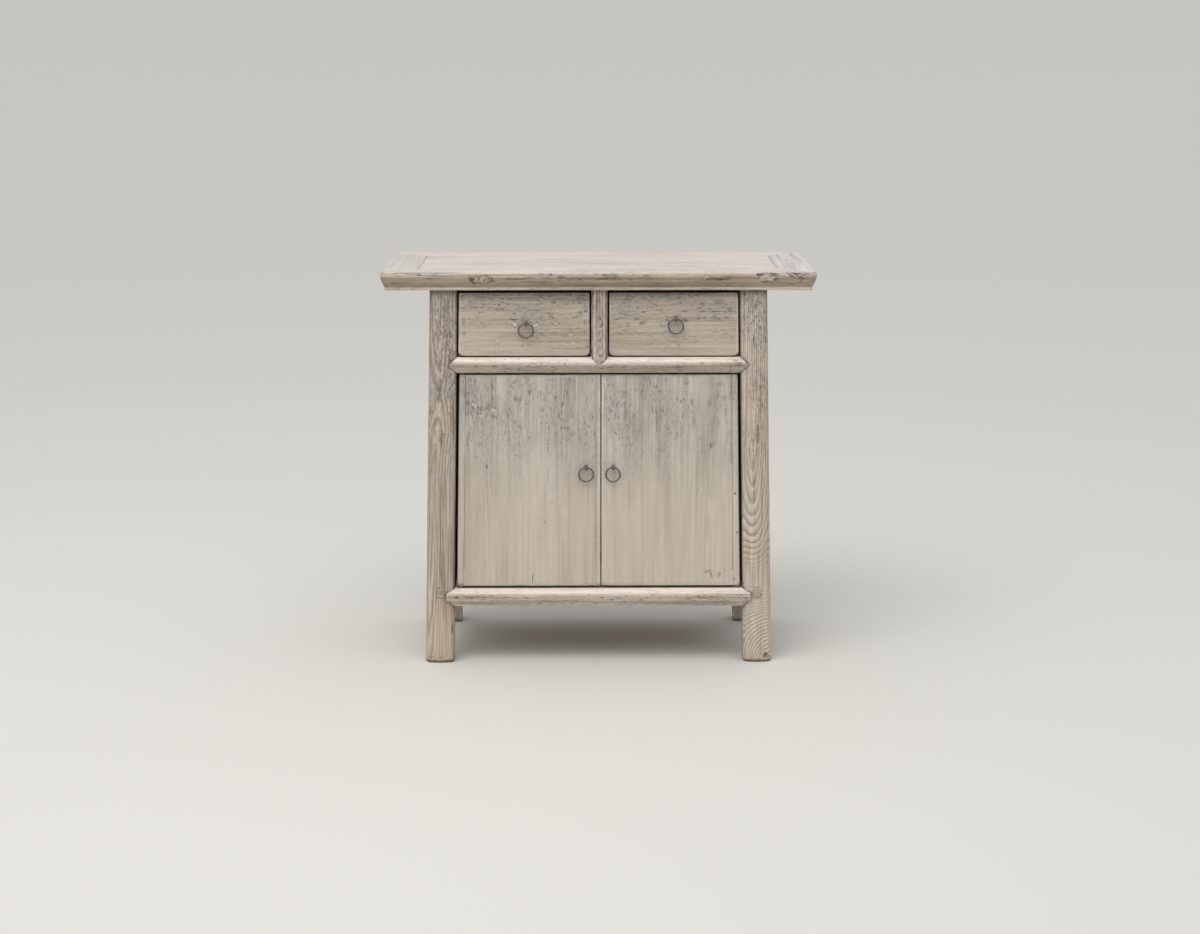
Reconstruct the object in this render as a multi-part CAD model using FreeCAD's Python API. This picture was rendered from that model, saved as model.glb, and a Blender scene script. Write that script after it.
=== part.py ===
import FreeCAD, Part
import math
import os

# Kang cabinet in elm, in millimetres.
# The origin is on the floor under the middle of the top. +X is to the right of someone who stands in
# front of the cabinet, +Y runs from the doors to the back, and +Z is up.

Vector = FreeCAD.Vector

# Overall size
top_length = 1000.0
top_depth = 420.0
cabinet_height = 937.0

# Clearances shared by many pieces
overrun = 5.0
joint_clearance = 0.2
mitre_gap = 0.4
seat_gap = 0.3

# Top: a mitred frame with a moulded edge and a panel in its groove
top_thickness = 42.5
top_rail_width = 83.0
edge_bulge = 1.2
edge_arris = 2.5
edge_upright = 14.5
edge_recess = 9.8
edge_curve_in_share = 0.46
edge_curve_down_share = 0.54
bead_height = 6.8
bead_recess = 9.0
top_panel_thickness = 16.0
top_panel_gap = 0.6
top_tongue_thickness = 8.0
top_tongue_length = 8.0
top_tongue_drop = 4.0
top_batten_width = 42.0
top_batten_thickness = 20.0
top_batten_spacing = 380.0
top_batten_stub = 8.0
mitre_tongue_raise = 12.0
mitre_tongue_thickness = 12.0
mitre_tongue_shares = [(0.28, 0.28), (0.62, 0.62), (0.28, 0.62)]

# Dovetailed keys of every batten
key_depth = 4.0
key_neck = 22.0
key_flare = 2.5

# Legs: splayed to the sides, straight from front to back
side_overhang = 110.0
leg_splay = 20.5
leg_top_width = 65.0
leg_foot_width = 68.5
leg_depth = 52.0
front_overhang = 20.0
leg_crown_radius = 100.0
leg_inner_corner = 10.0
leg_outer_corner = 18.0
leg_tenon_size = 24.0
leg_tenon_height = 26.0

# Front rails: faceted half-rounds whose pointed ends lap the legs
front_rail_depth = 49.0
rail_proud = 4.0
board_setback = 9.0
facet_setback = 1.5
lap_thickness = 14.0
drawer_opening_height = 158.0
middle_rail_height = 37.0
middle_upper_facet = 8.0
middle_lower_facet = 17.5
middle_lower_setback = 8.0
middle_lap = 18.5
middle_lap_shares = [(0.0, 1.0), (0.96, 0.56), (1.0, 0.5), (0.96, 0.44), (0.0, 0.0)]
lower_rail_top = 181.5
lower_rail_height = 42.5
lower_upper_facet = 9.5
lower_lower_facet = 12.5
lower_lower_setback = 6.0
lower_lap = 20.5
lower_lap_shares = [(0.0, 1.0), (0.9, 0.77), (1.0, 0.6), (0.92, 0.34), (0.0, 0.0)]
strip_step = 2.0
door_lip_drop = 8.0

# Tenons of the rails
tenon_thickness = 12.0
tenon_shoulder = 6.0
tenon_setback = 20.0
tenon_web = 2.0
side_tenon_thickness = 16.0
side_tenon_height = 23.5
side_tenon_length = 30.0

# Side and back rails and their panels
side_rail_thickness = 28.0
side_rail_height = 38.5
side_lower_rail_top = 190.0
upper_rail_height = 40.0
back_rail_depth = 30.0
back_rail_setback = 10.0
panel_thickness = 9.0
groove_depth = 7.0
groove_end_gap = 0.5

# Centre stile between the drawers
stile_width = 38.5
stile_offset = 2.0
stile_depth = 34.0
stile_proud = 3.0
stile_facet = 7.0
stile_foot_drop = 15.5
stile_foot_nose = 8.0
stile_tenon_height = 20.0
stile_tenon_width = 22.0
stile_tenon_thickness = 12.0
stile_foot_thickness = 12.0

# Floor, dust board and drawer runners
floor_thickness = 16.0
floor_stand = 10.0
floor_edge_gap = 1.5
floor_rest = 6.0
floor_batten_width = 40.0
floor_batten_height = 24.0
dust_thickness = 8.0
dust_drop = 26.0
runner_height = 20.0
runner_shelf = 22.0
guide_thickness = 9.0
guide_height = 18.0
runner_stub = 8.0

# Drawers
drawer_gap = 3.5
drawer_top_gap = 8.0
drawer_lift = 3.2
drawer_front_thickness = 18.0
drawer_corner = 8.5
drawer_upper_corner = 2.0
drawer_side_thickness = 10.0
drawer_side_drop = 20.5
drawer_side_inset = 4.0
drawer_side_space = 1.0
drawer_back_thickness = 12.0
drawer_back_drop = 8.0
drawer_back_margin = 4.0
drawer_bottom_thickness = 6.0
drawer_bottom_raise = 8.0
drawer_groove = 5.0
drawer_stop_gap = 0.8
tail_count = 3
tail_length = 12.0
tail_narrow = 18.0
tail_flare = 3.0

# Doors
door_thickness = 20.0
door_side_gap = 5.0
door_top_gap = 4.0
door_bottom_gap = 6.0
door_meeting_gap = 1.8
door_meeting_offset = 5.5
pivot_strip_width = 16.0
pivot_strip_front_round = 4.0
pivot_radius = 6.0
pivot_clearance = 0.08
pivot_depth = 12.0
edge_strip_width = 11.5
edge_tongue_length = 5.0
edge_tongue_thickness = 6.0
door_batten_height = 40.0
door_batten_thickness = 12.0
door_batten_end = 14.0
door_batten_inset = 70.0
door_stop_gap = 0.5

# Iron rings and split-pin staples
ring_radius = 17.0
ring_wire = 2.0
eye_wire = 1.9
eye_hole_radius = 2.9
eye_play = 0.3
shank_radius = 2.2
shank_clearance = 0.1
prong_length = 12.0
prong_thickness = 1.6
prong_width = 3.6
left_door_ring_inset = 34.5
right_door_ring_inset = 28.5
door_ring_height_share = 0.534
drawer_ring_across_shares = {"left": 0.484, "right": 0.513}
drawer_ring_height_shares = {"left": 0.404, "right": 0.471}

# Places that follow from the sizes above
leg_top_inner = top_length / 2 - side_overhang - leg_top_width
leg_foot_inner = leg_top_inner + leg_splay
underside = cabinet_height - top_thickness
middle_rail_top = underside - drawer_opening_height
front_edge_y = -top_depth / 2
back_edge_y = top_depth / 2
leg_face_y = front_edge_y + front_overhang
front_leg_back_y = leg_face_y + leg_depth
back_leg_front_y = back_edge_y - leg_depth
board_face_y = leg_face_y + board_setback
rail_front_y = leg_face_y - rail_proud
rail_back_y = rail_front_y + front_rail_depth
lap_back_y = leg_face_y + lap_thickness
door_back_y = board_face_y + door_thickness
door_stop_y = door_back_y + door_stop_gap
back_rail_back_y = back_edge_y - back_rail_setback
back_rail_front_y = back_rail_back_y - back_rail_depth
middle_rail_bottom = middle_rail_top - middle_rail_height
upper_rail_bottom = underside - upper_rail_height
stile_left = stile_offset - stile_width / 2
stile_right = stile_offset + stile_width / 2
sides = {"left": -1, "right": 1}

nodes = {}


def keep(name, shape):
    """Store one finished piece under its name."""
    nodes[name] = shape.removeSplitter()


def face_of(points):
    """Flat face inside a closed run of corner points."""
    return Part.Face(Part.makePolygon(points + points[:1]))


def prism_xz(outline, y_low, y_high):
    """Prism along Y on an outline of (x, z) points."""
    corners = [Vector(x, y_low, z) for x, z in outline]
    return face_of(corners).extrude(Vector(0, y_high - y_low, 0))


def prism_yz(outline, x_low, x_high):
    """Prism along X on an outline of (y, z) points."""
    corners = [Vector(x_low, y, z) for y, z in outline]
    return face_of(corners).extrude(Vector(x_high - x_low, 0, 0))


def prism_xy(outline, z_low, z_high):
    """Prism along Z on an outline of (x, y) points."""
    corners = [Vector(x, y, z_low) for x, y in outline]
    return face_of(corners).extrude(Vector(0, 0, z_high - z_low))


def block(x_low, x_high, y_low, y_high, z_low, z_high):
    """Rectangular block between two corners."""
    size = (x_high - x_low, y_high - y_low, z_high - z_low)
    return Part.makeBox(size[0], size[1], size[2], Vector(x_low, y_low, z_low))


def rounded_wire(corners, radii):
    """Closed wire through corner points, each rounded by its own radius."""
    edges = []
    last = None
    first = None
    for index, corner in enumerate(corners):
        back = (corners[index - 1] - corner).normalize()
        ahead = (corners[(index + 1) % len(corners)] - corner).normalize()
        half = back.getAngle(ahead) / 2
        radius = radii[index]
        if radius > 0:
            reach = radius / math.tan(half)
            inward = (back + ahead).normalize()
            start = corner + back * reach
            end = corner + ahead * reach
            middle = corner + inward * (radius / math.sin(half) - radius)
        else:
            start = corner
            end = corner
        if last is not None:
            edges.append(Part.LineSegment(last, start).toShape())
        else:
            first = start
        if radius > 0:
            edges.append(Part.Arc(start, middle, end).toShape())
        last = end
    edges.append(Part.LineSegment(last, first).toShape())
    return Part.Wire(edges)


def share_of_height(z):
    """Share of the way from the floor to the underside of the top."""
    return z / underside


def leg_inner(z):
    """Distance from the middle of the cabinet to a leg's inner face."""
    return leg_foot_inner + (leg_top_inner - leg_foot_inner) * share_of_height(z)


def leg_width(z):
    """Width of a leg seen from the front."""
    return leg_foot_width + (leg_top_width - leg_foot_width) * share_of_height(z)


def leg_middle(z):
    """Distance from the middle of the cabinet to a leg's centre line."""
    return leg_inner(z) + leg_width(z) / 2


def tenon_reach(z):
    """Where the tenons of the front and back rails end, short of the side rails' tenons."""
    return leg_middle(z) - side_tenon_thickness / 2 - tenon_web


def slab(x_left, x_right, z_low, z_high, y_low, y_high):
    """Board standing in the XZ plane; its two edges follow functions of height."""
    outline = [
        (x_left(z_low), z_low),
        (x_right(z_low), z_low),
        (x_right(z_high), z_high),
        (x_left(z_high), z_high),
    ]
    return prism_xz(outline, y_low, y_high)


def between_legs(z_low, z_high, y_low, y_high, inset=0.0):
    """Board that fills the space between the legs and enters each by inset."""
    def left(z):
        return -leg_inner(z) - inset

    def right(z):
        return leg_inner(z) + inset

    return slab(left, right, z_low, z_high, y_low, y_high)


def along_side(side, half_thickness, z_low, z_high, y_low, y_high):
    """Board in the splayed plane of one side, centred on the legs' centre lines."""
    def inner(z):
        return side * (leg_middle(z) - half_thickness)

    def outer(z):
        return side * (leg_middle(z) + half_thickness)

    return slab(inner, outer, z_low, z_high, y_low, y_high)


def key_points(neck, flare, depth, grow=0.0):
    """Dovetail key as (depth, across) points, wider at its far end; grow gives the housing cut for it."""
    return [
        (-grow, neck / 2 + grow),
        (depth + grow, neck / 2 + flare + grow),
        (depth + grow, -neck / 2 - flare - grow),
        (-grow, -neck / 2 - grow),
    ]


# Legs

def leg_section(side, facing, z):
    """Section of a leg: one crowned face, a rounder outer corner, and a square back."""
    inner = leg_inner(z)
    outer = inner + leg_width(z)
    middle = leg_middle(z)
    crown_y = leg_face_y if facing < 0 else back_edge_y

    def place(across, depth):
        return Vector(side * across, crown_y - facing * depth, z)

    def corner(edge_x, towards, radius):
        centre_x = edge_x + towards * radius
        reach = leg_crown_radius - radius
        centre_depth = leg_crown_radius - math.sqrt(reach ** 2 - (centre_x - middle) ** 2)
        out_x = (centre_x - middle) / reach
        out_depth = (centre_depth - leg_crown_radius) / reach
        bend = math.hypot(out_x - towards, out_depth)
        touch = place(centre_x + out_x * radius, centre_depth + out_depth * radius)
        half_way = place(
            centre_x + (out_x - towards) / bend * radius,
            centre_depth + out_depth / bend * radius,
        )
        return place(edge_x, centre_depth), half_way, touch

    inner_side, inner_bend, inner_touch = corner(inner, 1, leg_inner_corner)
    outer_side, outer_bend, outer_touch = corner(outer, -1, leg_outer_corner)
    inner_back = place(inner, leg_depth)
    outer_back = place(outer, leg_depth)
    return Part.Wire([
        Part.LineSegment(inner_back, inner_side).toShape(),
        Part.Arc(inner_side, inner_bend, inner_touch).toShape(),
        Part.Arc(inner_touch, place(middle, 0), outer_touch).toShape(),
        Part.Arc(outer_touch, outer_bend, outer_side).toShape(),
        Part.LineSegment(outer_side, outer_back).toShape(),
        Part.LineSegment(outer_back, inner_back).toShape(),
    ])


def leg_head(side, facing, grow=0.0):
    """Square tenon on a leg's head, which enters the top's front or back rail."""
    half = leg_tenon_size / 2 + grow
    x_middle = side * leg_middle(underside)
    crown_y = leg_face_y if facing < 0 else back_edge_y
    y_middle = crown_y - facing * leg_depth / 2
    return block(
        x_middle - half, x_middle + half,
        y_middle - half, y_middle + half,
        underside, underside + leg_tenon_height + grow,
    )


legs = {}
leg_blanks = {}
for side_name, side in sides.items():
    for end_name, facing in (("front", -1), ("back", 1)):
        sections = [leg_section(side, facing, 0), leg_section(side, facing, underside)]
        blank = Part.makeLoft(sections, True, True)
        leg_blanks[end_name, side_name] = blank
        legs[end_name, side_name] = blank.fuse(leg_head(side, facing))


def cut_legs(end_name, cutter):
    """Take a cutter out of both legs at one end."""
    for side_name in sides:
        legs[end_name, side_name] = legs[end_name, side_name].cut(cutter)


# Front rails

def lap_outline(top, height, lap, lap_shares, grow=0.0):
    """Front view of a rail with its pointed laps, as (x, z) points from the right top round to the left."""
    right = []
    for across_share, up_share in lap_shares:
        z = top - height - grow + (height + 2 * grow) * up_share
        right.append((leg_inner(z) + (lap + grow) * across_share, z))
    left = [(-x, z) for x, z in reversed(right)]
    return right + left


def rail_tenon(top, height, y_low, grow=0.0):
    """Tenon through the whole length of a front or back rail; only its two ends stand out."""
    def left(z):
        return -tenon_reach(z) - grow

    def right(z):
        return tenon_reach(z) + grow

    return slab(
        left, right,
        top - height + tenon_shoulder - grow, top - tenon_shoulder + grow,
        y_low - grow, y_low + tenon_thickness + grow,
    )


def front_rail(top, height, upper_facet, lower_facet, lower_setback, step, lap, lap_shares):
    """Faceted half-round rail between the front legs."""
    bottom = top - height
    arris_y = rail_front_y + facet_setback
    upper_z = top - upper_facet
    lower_z = bottom + lower_facet
    reach = leg_foot_inner + leg_foot_width

    def place(y, z):
        return Vector(-reach, y, z)

    corners = [
        place(arris_y, lower_z),
        place(arris_y + step, lower_z),
        place(rail_front_y + lower_setback, bottom),
        place(rail_back_y, bottom),
        place(rail_back_y, top),
        place(board_face_y, top),
        place(arris_y, upper_z),
    ]
    if step == 0:
        corners = corners[1:]
    edges = []
    for start, end in zip(corners, corners[1:]):
        edges.append(Part.LineSegment(start, end).toShape())
    crown = place(rail_front_y, (upper_z + lower_z) / 2)
    edges.append(Part.Arc(corners[-1], crown, corners[0]).toShape())
    bar = Part.Face(Part.Wire(edges)).extrude(Vector(2 * reach, 0, 0))
    outline = lap_outline(top, height, lap, lap_shares)
    front_layer = prism_xz(outline, rail_front_y - overrun, lap_back_y)
    back_layer = between_legs(bottom, top, lap_back_y, rail_back_y)
    tenon = rail_tenon(top, height, leg_face_y + tenon_setback)
    return bar.common(front_layer.fuse(back_layer)).fuse(tenon)


def house_front_rail(top, height, lap, lap_shares):
    """Cut the notches and mortises that take a front rail's ends."""
    notch = lap_outline(top, height, lap, lap_shares, mitre_gap)
    cut_legs("front", prism_xz(notch, rail_front_y - overrun, lap_back_y))
    cut_legs("front", rail_tenon(top, height, leg_face_y + tenon_setback, joint_clearance))


middle_rail = front_rail(
    middle_rail_top, middle_rail_height, middle_upper_facet, middle_lower_facet,
    middle_lower_setback, 0, middle_lap, middle_lap_shares,
)
house_front_rail(middle_rail_top, middle_rail_height, middle_lap, middle_lap_shares)
door_lip = between_legs(
    middle_rail_bottom - door_lip_drop, middle_rail_bottom, door_stop_y, rail_back_y, -door_side_gap,
)
middle_rail = middle_rail.fuse(door_lip)

lower_rail = front_rail(
    lower_rail_top, lower_rail_height, lower_upper_facet, lower_lower_facet,
    lower_lower_setback, strip_step, lower_lap, lower_lap_shares,
)
house_front_rail(lower_rail_top, lower_rail_height, lower_lap, lower_lap_shares)


# Centre stile

stile_front_y = leg_face_y - stile_proud
stile_back_y = stile_front_y + stile_depth
stile_outline = [
    (stile_left, stile_back_y),
    (stile_left, board_face_y),
    (stile_left + stile_facet, stile_front_y),
    (stile_right - stile_facet, stile_front_y),
    (stile_right, board_face_y),
    (stile_right, stile_back_y),
]


def stile_foot(grow=0.0):
    """Blunt V of the stile's foot, which laps the middle rail's upper facet."""
    outline = [
        (stile_left - grow, middle_rail_top),
        (stile_offset - stile_foot_nose / 2 - grow, middle_rail_top - stile_foot_drop - grow),
        (stile_offset + stile_foot_nose / 2 + grow, middle_rail_top - stile_foot_drop - grow),
        (stile_right + grow, middle_rail_top),
    ]
    return prism_xz(outline, stile_front_y - overrun, stile_front_y + stile_foot_thickness)


def stile_tenons(grow=0.0):
    """The stile's tenons: up into the top's front rail and down into the middle rail."""
    y_low = stile_front_y + stile_foot_thickness
    return block(
        stile_offset - stile_tenon_width / 2 - grow, stile_offset + stile_tenon_width / 2 + grow,
        y_low, y_low + stile_tenon_thickness + grow,
        middle_rail_top - stile_tenon_height - grow, underside + stile_tenon_height + grow,
    )


stile_bar = prism_xy(stile_outline, middle_rail_top - stile_foot_drop, underside)
above_rail = block(
    stile_left, stile_right, stile_front_y, stile_back_y, middle_rail_top, underside,
)
centre_stile = stile_bar.common(above_rail.fuse(stile_foot())).fuse(stile_tenons())
middle_rail = middle_rail.cut(stile_foot(mitre_gap)).cut(stile_tenons(joint_clearance))


# Side rails

side_rail_tops = {
    "upper": underside,
    "middle": middle_rail_top,
    "lower": side_lower_rail_top,
}
side_rail_heights = {
    "upper": upper_rail_height,
    "middle": side_rail_height,
    "lower": side_rail_height,
}


def side_tenon(side, level, grow=0.0):
    """Tenons at both ends of a side rail; the lower one passes right through the front leg."""
    z_middle = side_rail_tops[level] - side_rail_heights[level] / 2
    y_low = front_leg_back_y - side_tenon_length
    if level == "lower":
        y_low = leg_face_y - overrun
    return along_side(
        side, side_tenon_thickness / 2 + grow,
        z_middle - side_tenon_height / 2 - grow, z_middle + side_tenon_height / 2 + grow,
        y_low - grow, back_leg_front_y + side_tenon_length + grow,
    )


side_rails = {}
for side_name, side in sides.items():
    for level, top in side_rail_tops.items():
        bottom = top - side_rail_heights[level]
        body = along_side(
            side, side_rail_thickness / 2, bottom, top, front_leg_back_y, back_leg_front_y,
        )
        tenon = side_tenon(side, level)
        if level == "lower":
            behind_face = leg_blanks["front", side_name].fuse(
                block(
                    -top_length, top_length, front_leg_back_y, back_edge_y, 0, underside,
                )
            )
            tenon = tenon.common(behind_face)
        side_rails[level, side_name] = body.fuse(tenon)
        for end_name in ("front", "back"):
            socket = side_tenon(side, level, joint_clearance)
            legs[end_name, side_name] = legs[end_name, side_name].cut(socket)


# Side panels

side_panel_spans = {
    "upper": (middle_rail_top, upper_rail_bottom),
    "lower": (side_lower_rail_top, middle_rail_top - side_rail_height),
}


def side_panel(side, level, grow=0.0):
    """Thin panel in the grooves of one side's legs and rails."""
    z_low, z_high = side_panel_spans[level]
    reach = groove_depth - groove_end_gap + grow
    return along_side(
        side, panel_thickness / 2 + min(grow, joint_clearance),
        z_low - reach, z_high + reach,
        front_leg_back_y - reach, back_leg_front_y + reach,
    )


for side_name, side in sides.items():
    for level in side_panel_spans:
        keep("side_panel_" + level + "_" + side_name, side_panel(side, level))
        groove = side_panel(side, level, groove_end_gap)
        for end_name in ("front", "back"):
            legs[end_name, side_name] = legs[end_name, side_name].cut(groove)
        for rail_level in side_rail_tops:
            side_rails[rail_level, side_name] = side_rails[rail_level, side_name].cut(groove)


# Back rails and panels

back_tenon_y = (back_rail_front_y + back_rail_back_y - tenon_thickness) / 2
back_rails = {}
for level, top, height in (
    ("upper", underside, upper_rail_height),
    ("middle", middle_rail_top, middle_rail_height),
    ("lower", lower_rail_top, lower_rail_height),
):
    body = between_legs(top - height, top, back_rail_front_y, back_rail_back_y)
    back_rails[level] = body.fuse(rail_tenon(top, height, back_tenon_y))
    cut_legs("back", rail_tenon(top, height, back_tenon_y, joint_clearance))

back_panel_spans = {
    "upper": (middle_rail_top, upper_rail_bottom),
    "lower": (lower_rail_top, middle_rail_bottom),
}
back_panel_front_y = (back_rail_front_y + back_rail_back_y - panel_thickness) / 2


def back_panel(level, grow=0.0):
    """Thin panel in the grooves of the back legs and rails."""
    z_low, z_high = back_panel_spans[level]
    reach = groove_depth - groove_end_gap + grow
    slack = min(grow, joint_clearance)
    return between_legs(
        z_low - reach, z_high + reach,
        back_panel_front_y - slack, back_panel_front_y + panel_thickness + slack, reach,
    )


for level in back_panel_spans:
    keep("back_panel_" + level, back_panel(level))
    groove = back_panel(level, groove_end_gap)
    cut_legs("back", groove)
    for rail_level in back_rails:
        back_rails[rail_level] = back_rails[rail_level].cut(groove)


# Floor and dust board: each is let into the four rails round it and cut round the legs

def side_inner(z):
    """Distance from the middle of the cabinet to the inner face of a side rail."""
    return leg_middle(z) - side_rail_thickness / 2


def deck(z_low, z_high, y_low, y_high, rest, gap, grow=0.0):
    """Level board that rests in the side rails and passes between the legs."""
    def wide_left(z):
        return -side_inner(z) - rest - grow

    def wide_right(z):
        return side_inner(z) + rest + grow

    wide = slab(
        wide_left, wide_right, z_low - grow, z_high + grow,
        front_leg_back_y + gap - grow, back_leg_front_y - gap + grow,
    )
    narrow = between_legs(z_low - grow, z_high + grow, y_low - grow, y_high + grow, grow - gap)
    return wide.fuse(narrow)


floor_top = lower_rail_top + floor_stand
floor_places = (
    floor_top - floor_thickness, floor_top,
    door_stop_y, back_rail_front_y + floor_rest,
    floor_rest, floor_edge_gap,
)
floor_board = deck(*floor_places)
keep("floor_board", floor_board)
floor_rebate = deck(*floor_places, joint_clearance)
lower_rail = lower_rail.cut(floor_rebate)
back_rails["lower"] = back_rails["lower"].cut(floor_rebate)

dust_top = middle_rail_top - dust_drop
dust_places = (
    dust_top - dust_thickness, dust_top,
    rail_back_y - groove_depth + groove_end_gap, back_rail_front_y + groove_depth - groove_end_gap,
    groove_depth - groove_end_gap, floor_edge_gap,
)
keep("dust_board", deck(*dust_places))
dust_groove = deck(*dust_places, joint_clearance)
middle_rail = middle_rail.cut(dust_groove)
back_rails["middle"] = back_rails["middle"].cut(dust_groove)
for side_name in sides:
    side_rails["middle", side_name] = side_rails["middle", side_name].cut(dust_groove)
    side_rails["lower", side_name] = side_rails["lower", side_name].cut(floor_rebate)


def floor_batten(grow=0.0):
    """Bearer under the middle of the floor, stubbed into the lower side rails."""
    def left(z):
        return -side_inner(z) - floor_rest - grow

    def right(z):
        return side_inner(z) + floor_rest + grow

    z_high = floor_top - floor_thickness
    return slab(
        left, right, z_high - floor_batten_height - grow, z_high,
        -floor_batten_width / 2 - grow, floor_batten_width / 2 + grow,
    )


keep("floor_batten", floor_batten())
for side_name in sides:
    side_rails["lower", side_name] = side_rails["lower", side_name].cut(floor_batten(joint_clearance))


# Drawer runners, each with the guide that keeps its drawers straight

drawer_bottom_z = middle_rail_top + drawer_lift
drawer_top_z = underside - drawer_top_gap
runner_top = drawer_bottom_z - seat_gap
runner_bottom = runner_top - runner_height


def drawer_span(side):
    """Outer faces of a drawer's two sides, from left to right."""
    at_leg = side * (leg_inner(drawer_top_z) - drawer_gap - drawer_side_inset)
    at_stile = stile_offset + side * (stile_width / 2 + drawer_gap + drawer_side_inset)
    return min(at_leg, at_stile), max(at_leg, at_stile)


def runner(x_low, x_high, guide_low, guide_high):
    """Runner between the middle rails with its guide standing on it; returns it and its mortises."""
    body = block(x_low, x_high, rail_back_y, back_rail_front_y, runner_bottom, runner_top)
    guide = block(
        guide_low, guide_high, rail_back_y, back_rail_front_y, runner_top, runner_top + guide_height,
    )
    stub_high = middle_rail_top - tenon_shoulder
    stub = block(
        x_low + tenon_shoulder, x_high - tenon_shoulder,
        rail_back_y - runner_stub, back_rail_front_y + runner_stub, runner_bottom, stub_high,
    )
    mortise = block(
        x_low + tenon_shoulder - joint_clearance, x_high - tenon_shoulder + joint_clearance,
        rail_back_y - runner_stub - joint_clearance, back_rail_front_y + runner_stub + joint_clearance,
        runner_bottom - joint_clearance, stub_high + joint_clearance,
    )
    return body.fuse(guide).fuse(stub), mortise


left_span = drawer_span(-1)
right_span = drawer_span(1)
runner_places = {
    "left": (
        left_span[0] - drawer_side_space - guide_thickness, left_span[0] + runner_shelf,
        left_span[0] - drawer_side_space - guide_thickness, left_span[0] - drawer_side_space,
    ),
    "centre": (
        left_span[1] - runner_shelf, right_span[0] + runner_shelf,
        left_span[1] + drawer_side_space, right_span[0] - drawer_side_space,
    ),
    "right": (
        right_span[1] - runner_shelf, right_span[1] + drawer_side_space + guide_thickness,
        right_span[1] + drawer_side_space, right_span[1] + drawer_side_space + guide_thickness,
    ),
}
for runner_name, places in runner_places.items():
    piece, mortise = runner(*places)
    keep("drawer_runner_" + runner_name, piece)
    middle_rail = middle_rail.cut(mortise)
    back_rails["middle"] = back_rails["middle"].cut(mortise)


# Top

def edge_profile(outer, inward):
    """Moulded edge as vectors in the XZ plane, from the upper face down to the underside."""
    def place(across, down):
        return Vector(outer + inward * across, 0, cabinet_height - down)

    curve_end = top_thickness - bead_height
    arris_middle = edge_arris * (1 - math.cos(math.pi / 4))
    upper = place(edge_bulge + edge_arris, 0)
    arris = place(edge_bulge + arris_middle, arris_middle)
    upright_start = place(edge_bulge, edge_arris)
    bulge = place(0, (edge_arris + edge_upright) / 2)
    upright_end = place(edge_bulge, edge_upright)
    curve = place(
        edge_bulge + (edge_recess - edge_bulge) * edge_curve_in_share,
        edge_upright + (curve_end - edge_upright) * edge_curve_down_share,
    )
    curve_foot = place(edge_recess, curve_end)
    bead_top = place(bead_recess, curve_end)
    bead_foot = place(bead_recess, top_thickness)
    edges = [
        Part.Arc(upper, arris, upright_start).toShape(),
        Part.Arc(upright_start, bulge, upright_end).toShape(),
        Part.Arc(upright_end, curve, curve_foot).toShape(),
        Part.LineSegment(curve_foot, bead_top).toShape(),
        Part.LineSegment(bead_top, bead_foot).toShape(),
    ]
    return edges, upper, bead_foot


def top_slab():
    """The whole top as one block, moulded along its front and both ends."""
    left_edges, left_upper, left_foot = edge_profile(-top_length / 2, 1)
    right_edges, right_upper, right_foot = edge_profile(top_length / 2, -1)
    across = Part.Wire(Part.__sortEdges__(
        left_edges
        + right_edges
        + [
            Part.LineSegment(left_foot, right_foot).toShape(),
            Part.LineSegment(right_upper, left_upper).toShape(),
        ]
    ))
    lengthwise = Part.Face(across).extrude(Vector(0, top_depth, 0))
    lengthwise.translate(Vector(0, front_edge_y, 0))
    front_edges, front_upper, front_foot = edge_profile(0, 1)
    back_upper = Vector(top_depth, 0, cabinet_height)
    back_foot = Vector(top_depth, 0, underside)
    across = Part.Wire(Part.__sortEdges__(
        front_edges
        + [
            Part.LineSegment(front_foot, back_foot).toShape(),
            Part.LineSegment(back_foot, back_upper).toShape(),
            Part.LineSegment(back_upper, front_upper).toShape(),
        ]
    ))
    depthwise = Part.Face(across).extrude(Vector(0, top_length, 0))
    depthwise.rotate(Vector(0, 0, 0), Vector(0, 0, 1), 90)
    depthwise.translate(Vector(top_length / 2, front_edge_y, 0))
    return lengthwise.common(depthwise)


panel_half_length = top_length / 2 - top_rail_width
panel_half_depth = top_depth / 2 - top_rail_width


def top_panel_blank(grow=0.0):
    """Panel with a tongue all round; grow gives the groove cut for it."""
    gap = top_panel_gap - grow
    low = cabinet_height - top_panel_thickness
    field = block(
        -panel_half_length + gap, panel_half_length - gap,
        -panel_half_depth + gap, panel_half_depth - gap,
        low, cabinet_height,
    )
    reach = top_tongue_length - gap
    tongue_high = cabinet_height - top_tongue_drop
    slack = min(grow, joint_clearance)
    tongue = block(
        -panel_half_length - reach, panel_half_length + reach,
        -panel_half_depth - reach, panel_half_depth + reach,
        tongue_high - top_tongue_thickness - slack, tongue_high + slack,
    )
    return field.fuse(tongue)


def top_batten(x_middle, grow=0.0):
    """Batten under the panel: its dovetail slides in the panel, its ends are stubbed into the rails."""
    high = cabinet_height - top_panel_thickness
    body = block(
        x_middle - top_batten_width / 2, x_middle + top_batten_width / 2,
        -panel_half_depth, panel_half_depth,
        high - top_batten_thickness, high,
    )
    reach = panel_half_depth + top_batten_stub + grow
    stub = block(
        x_middle - key_neck / 2 - grow, x_middle + key_neck / 2 + grow,
        -reach, reach,
        high - top_batten_thickness + key_depth - grow, high - key_depth + grow,
    )
    outline = []
    for depth, across in key_points(key_neck, key_flare, key_depth, grow):
        outline.append((x_middle + across, high + depth))
    key = prism_xz(outline, -panel_half_depth, panel_half_depth)
    if grow > 0:
        return stub.fuse(key)
    return body.fuse(stub).fuse(key)


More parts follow.
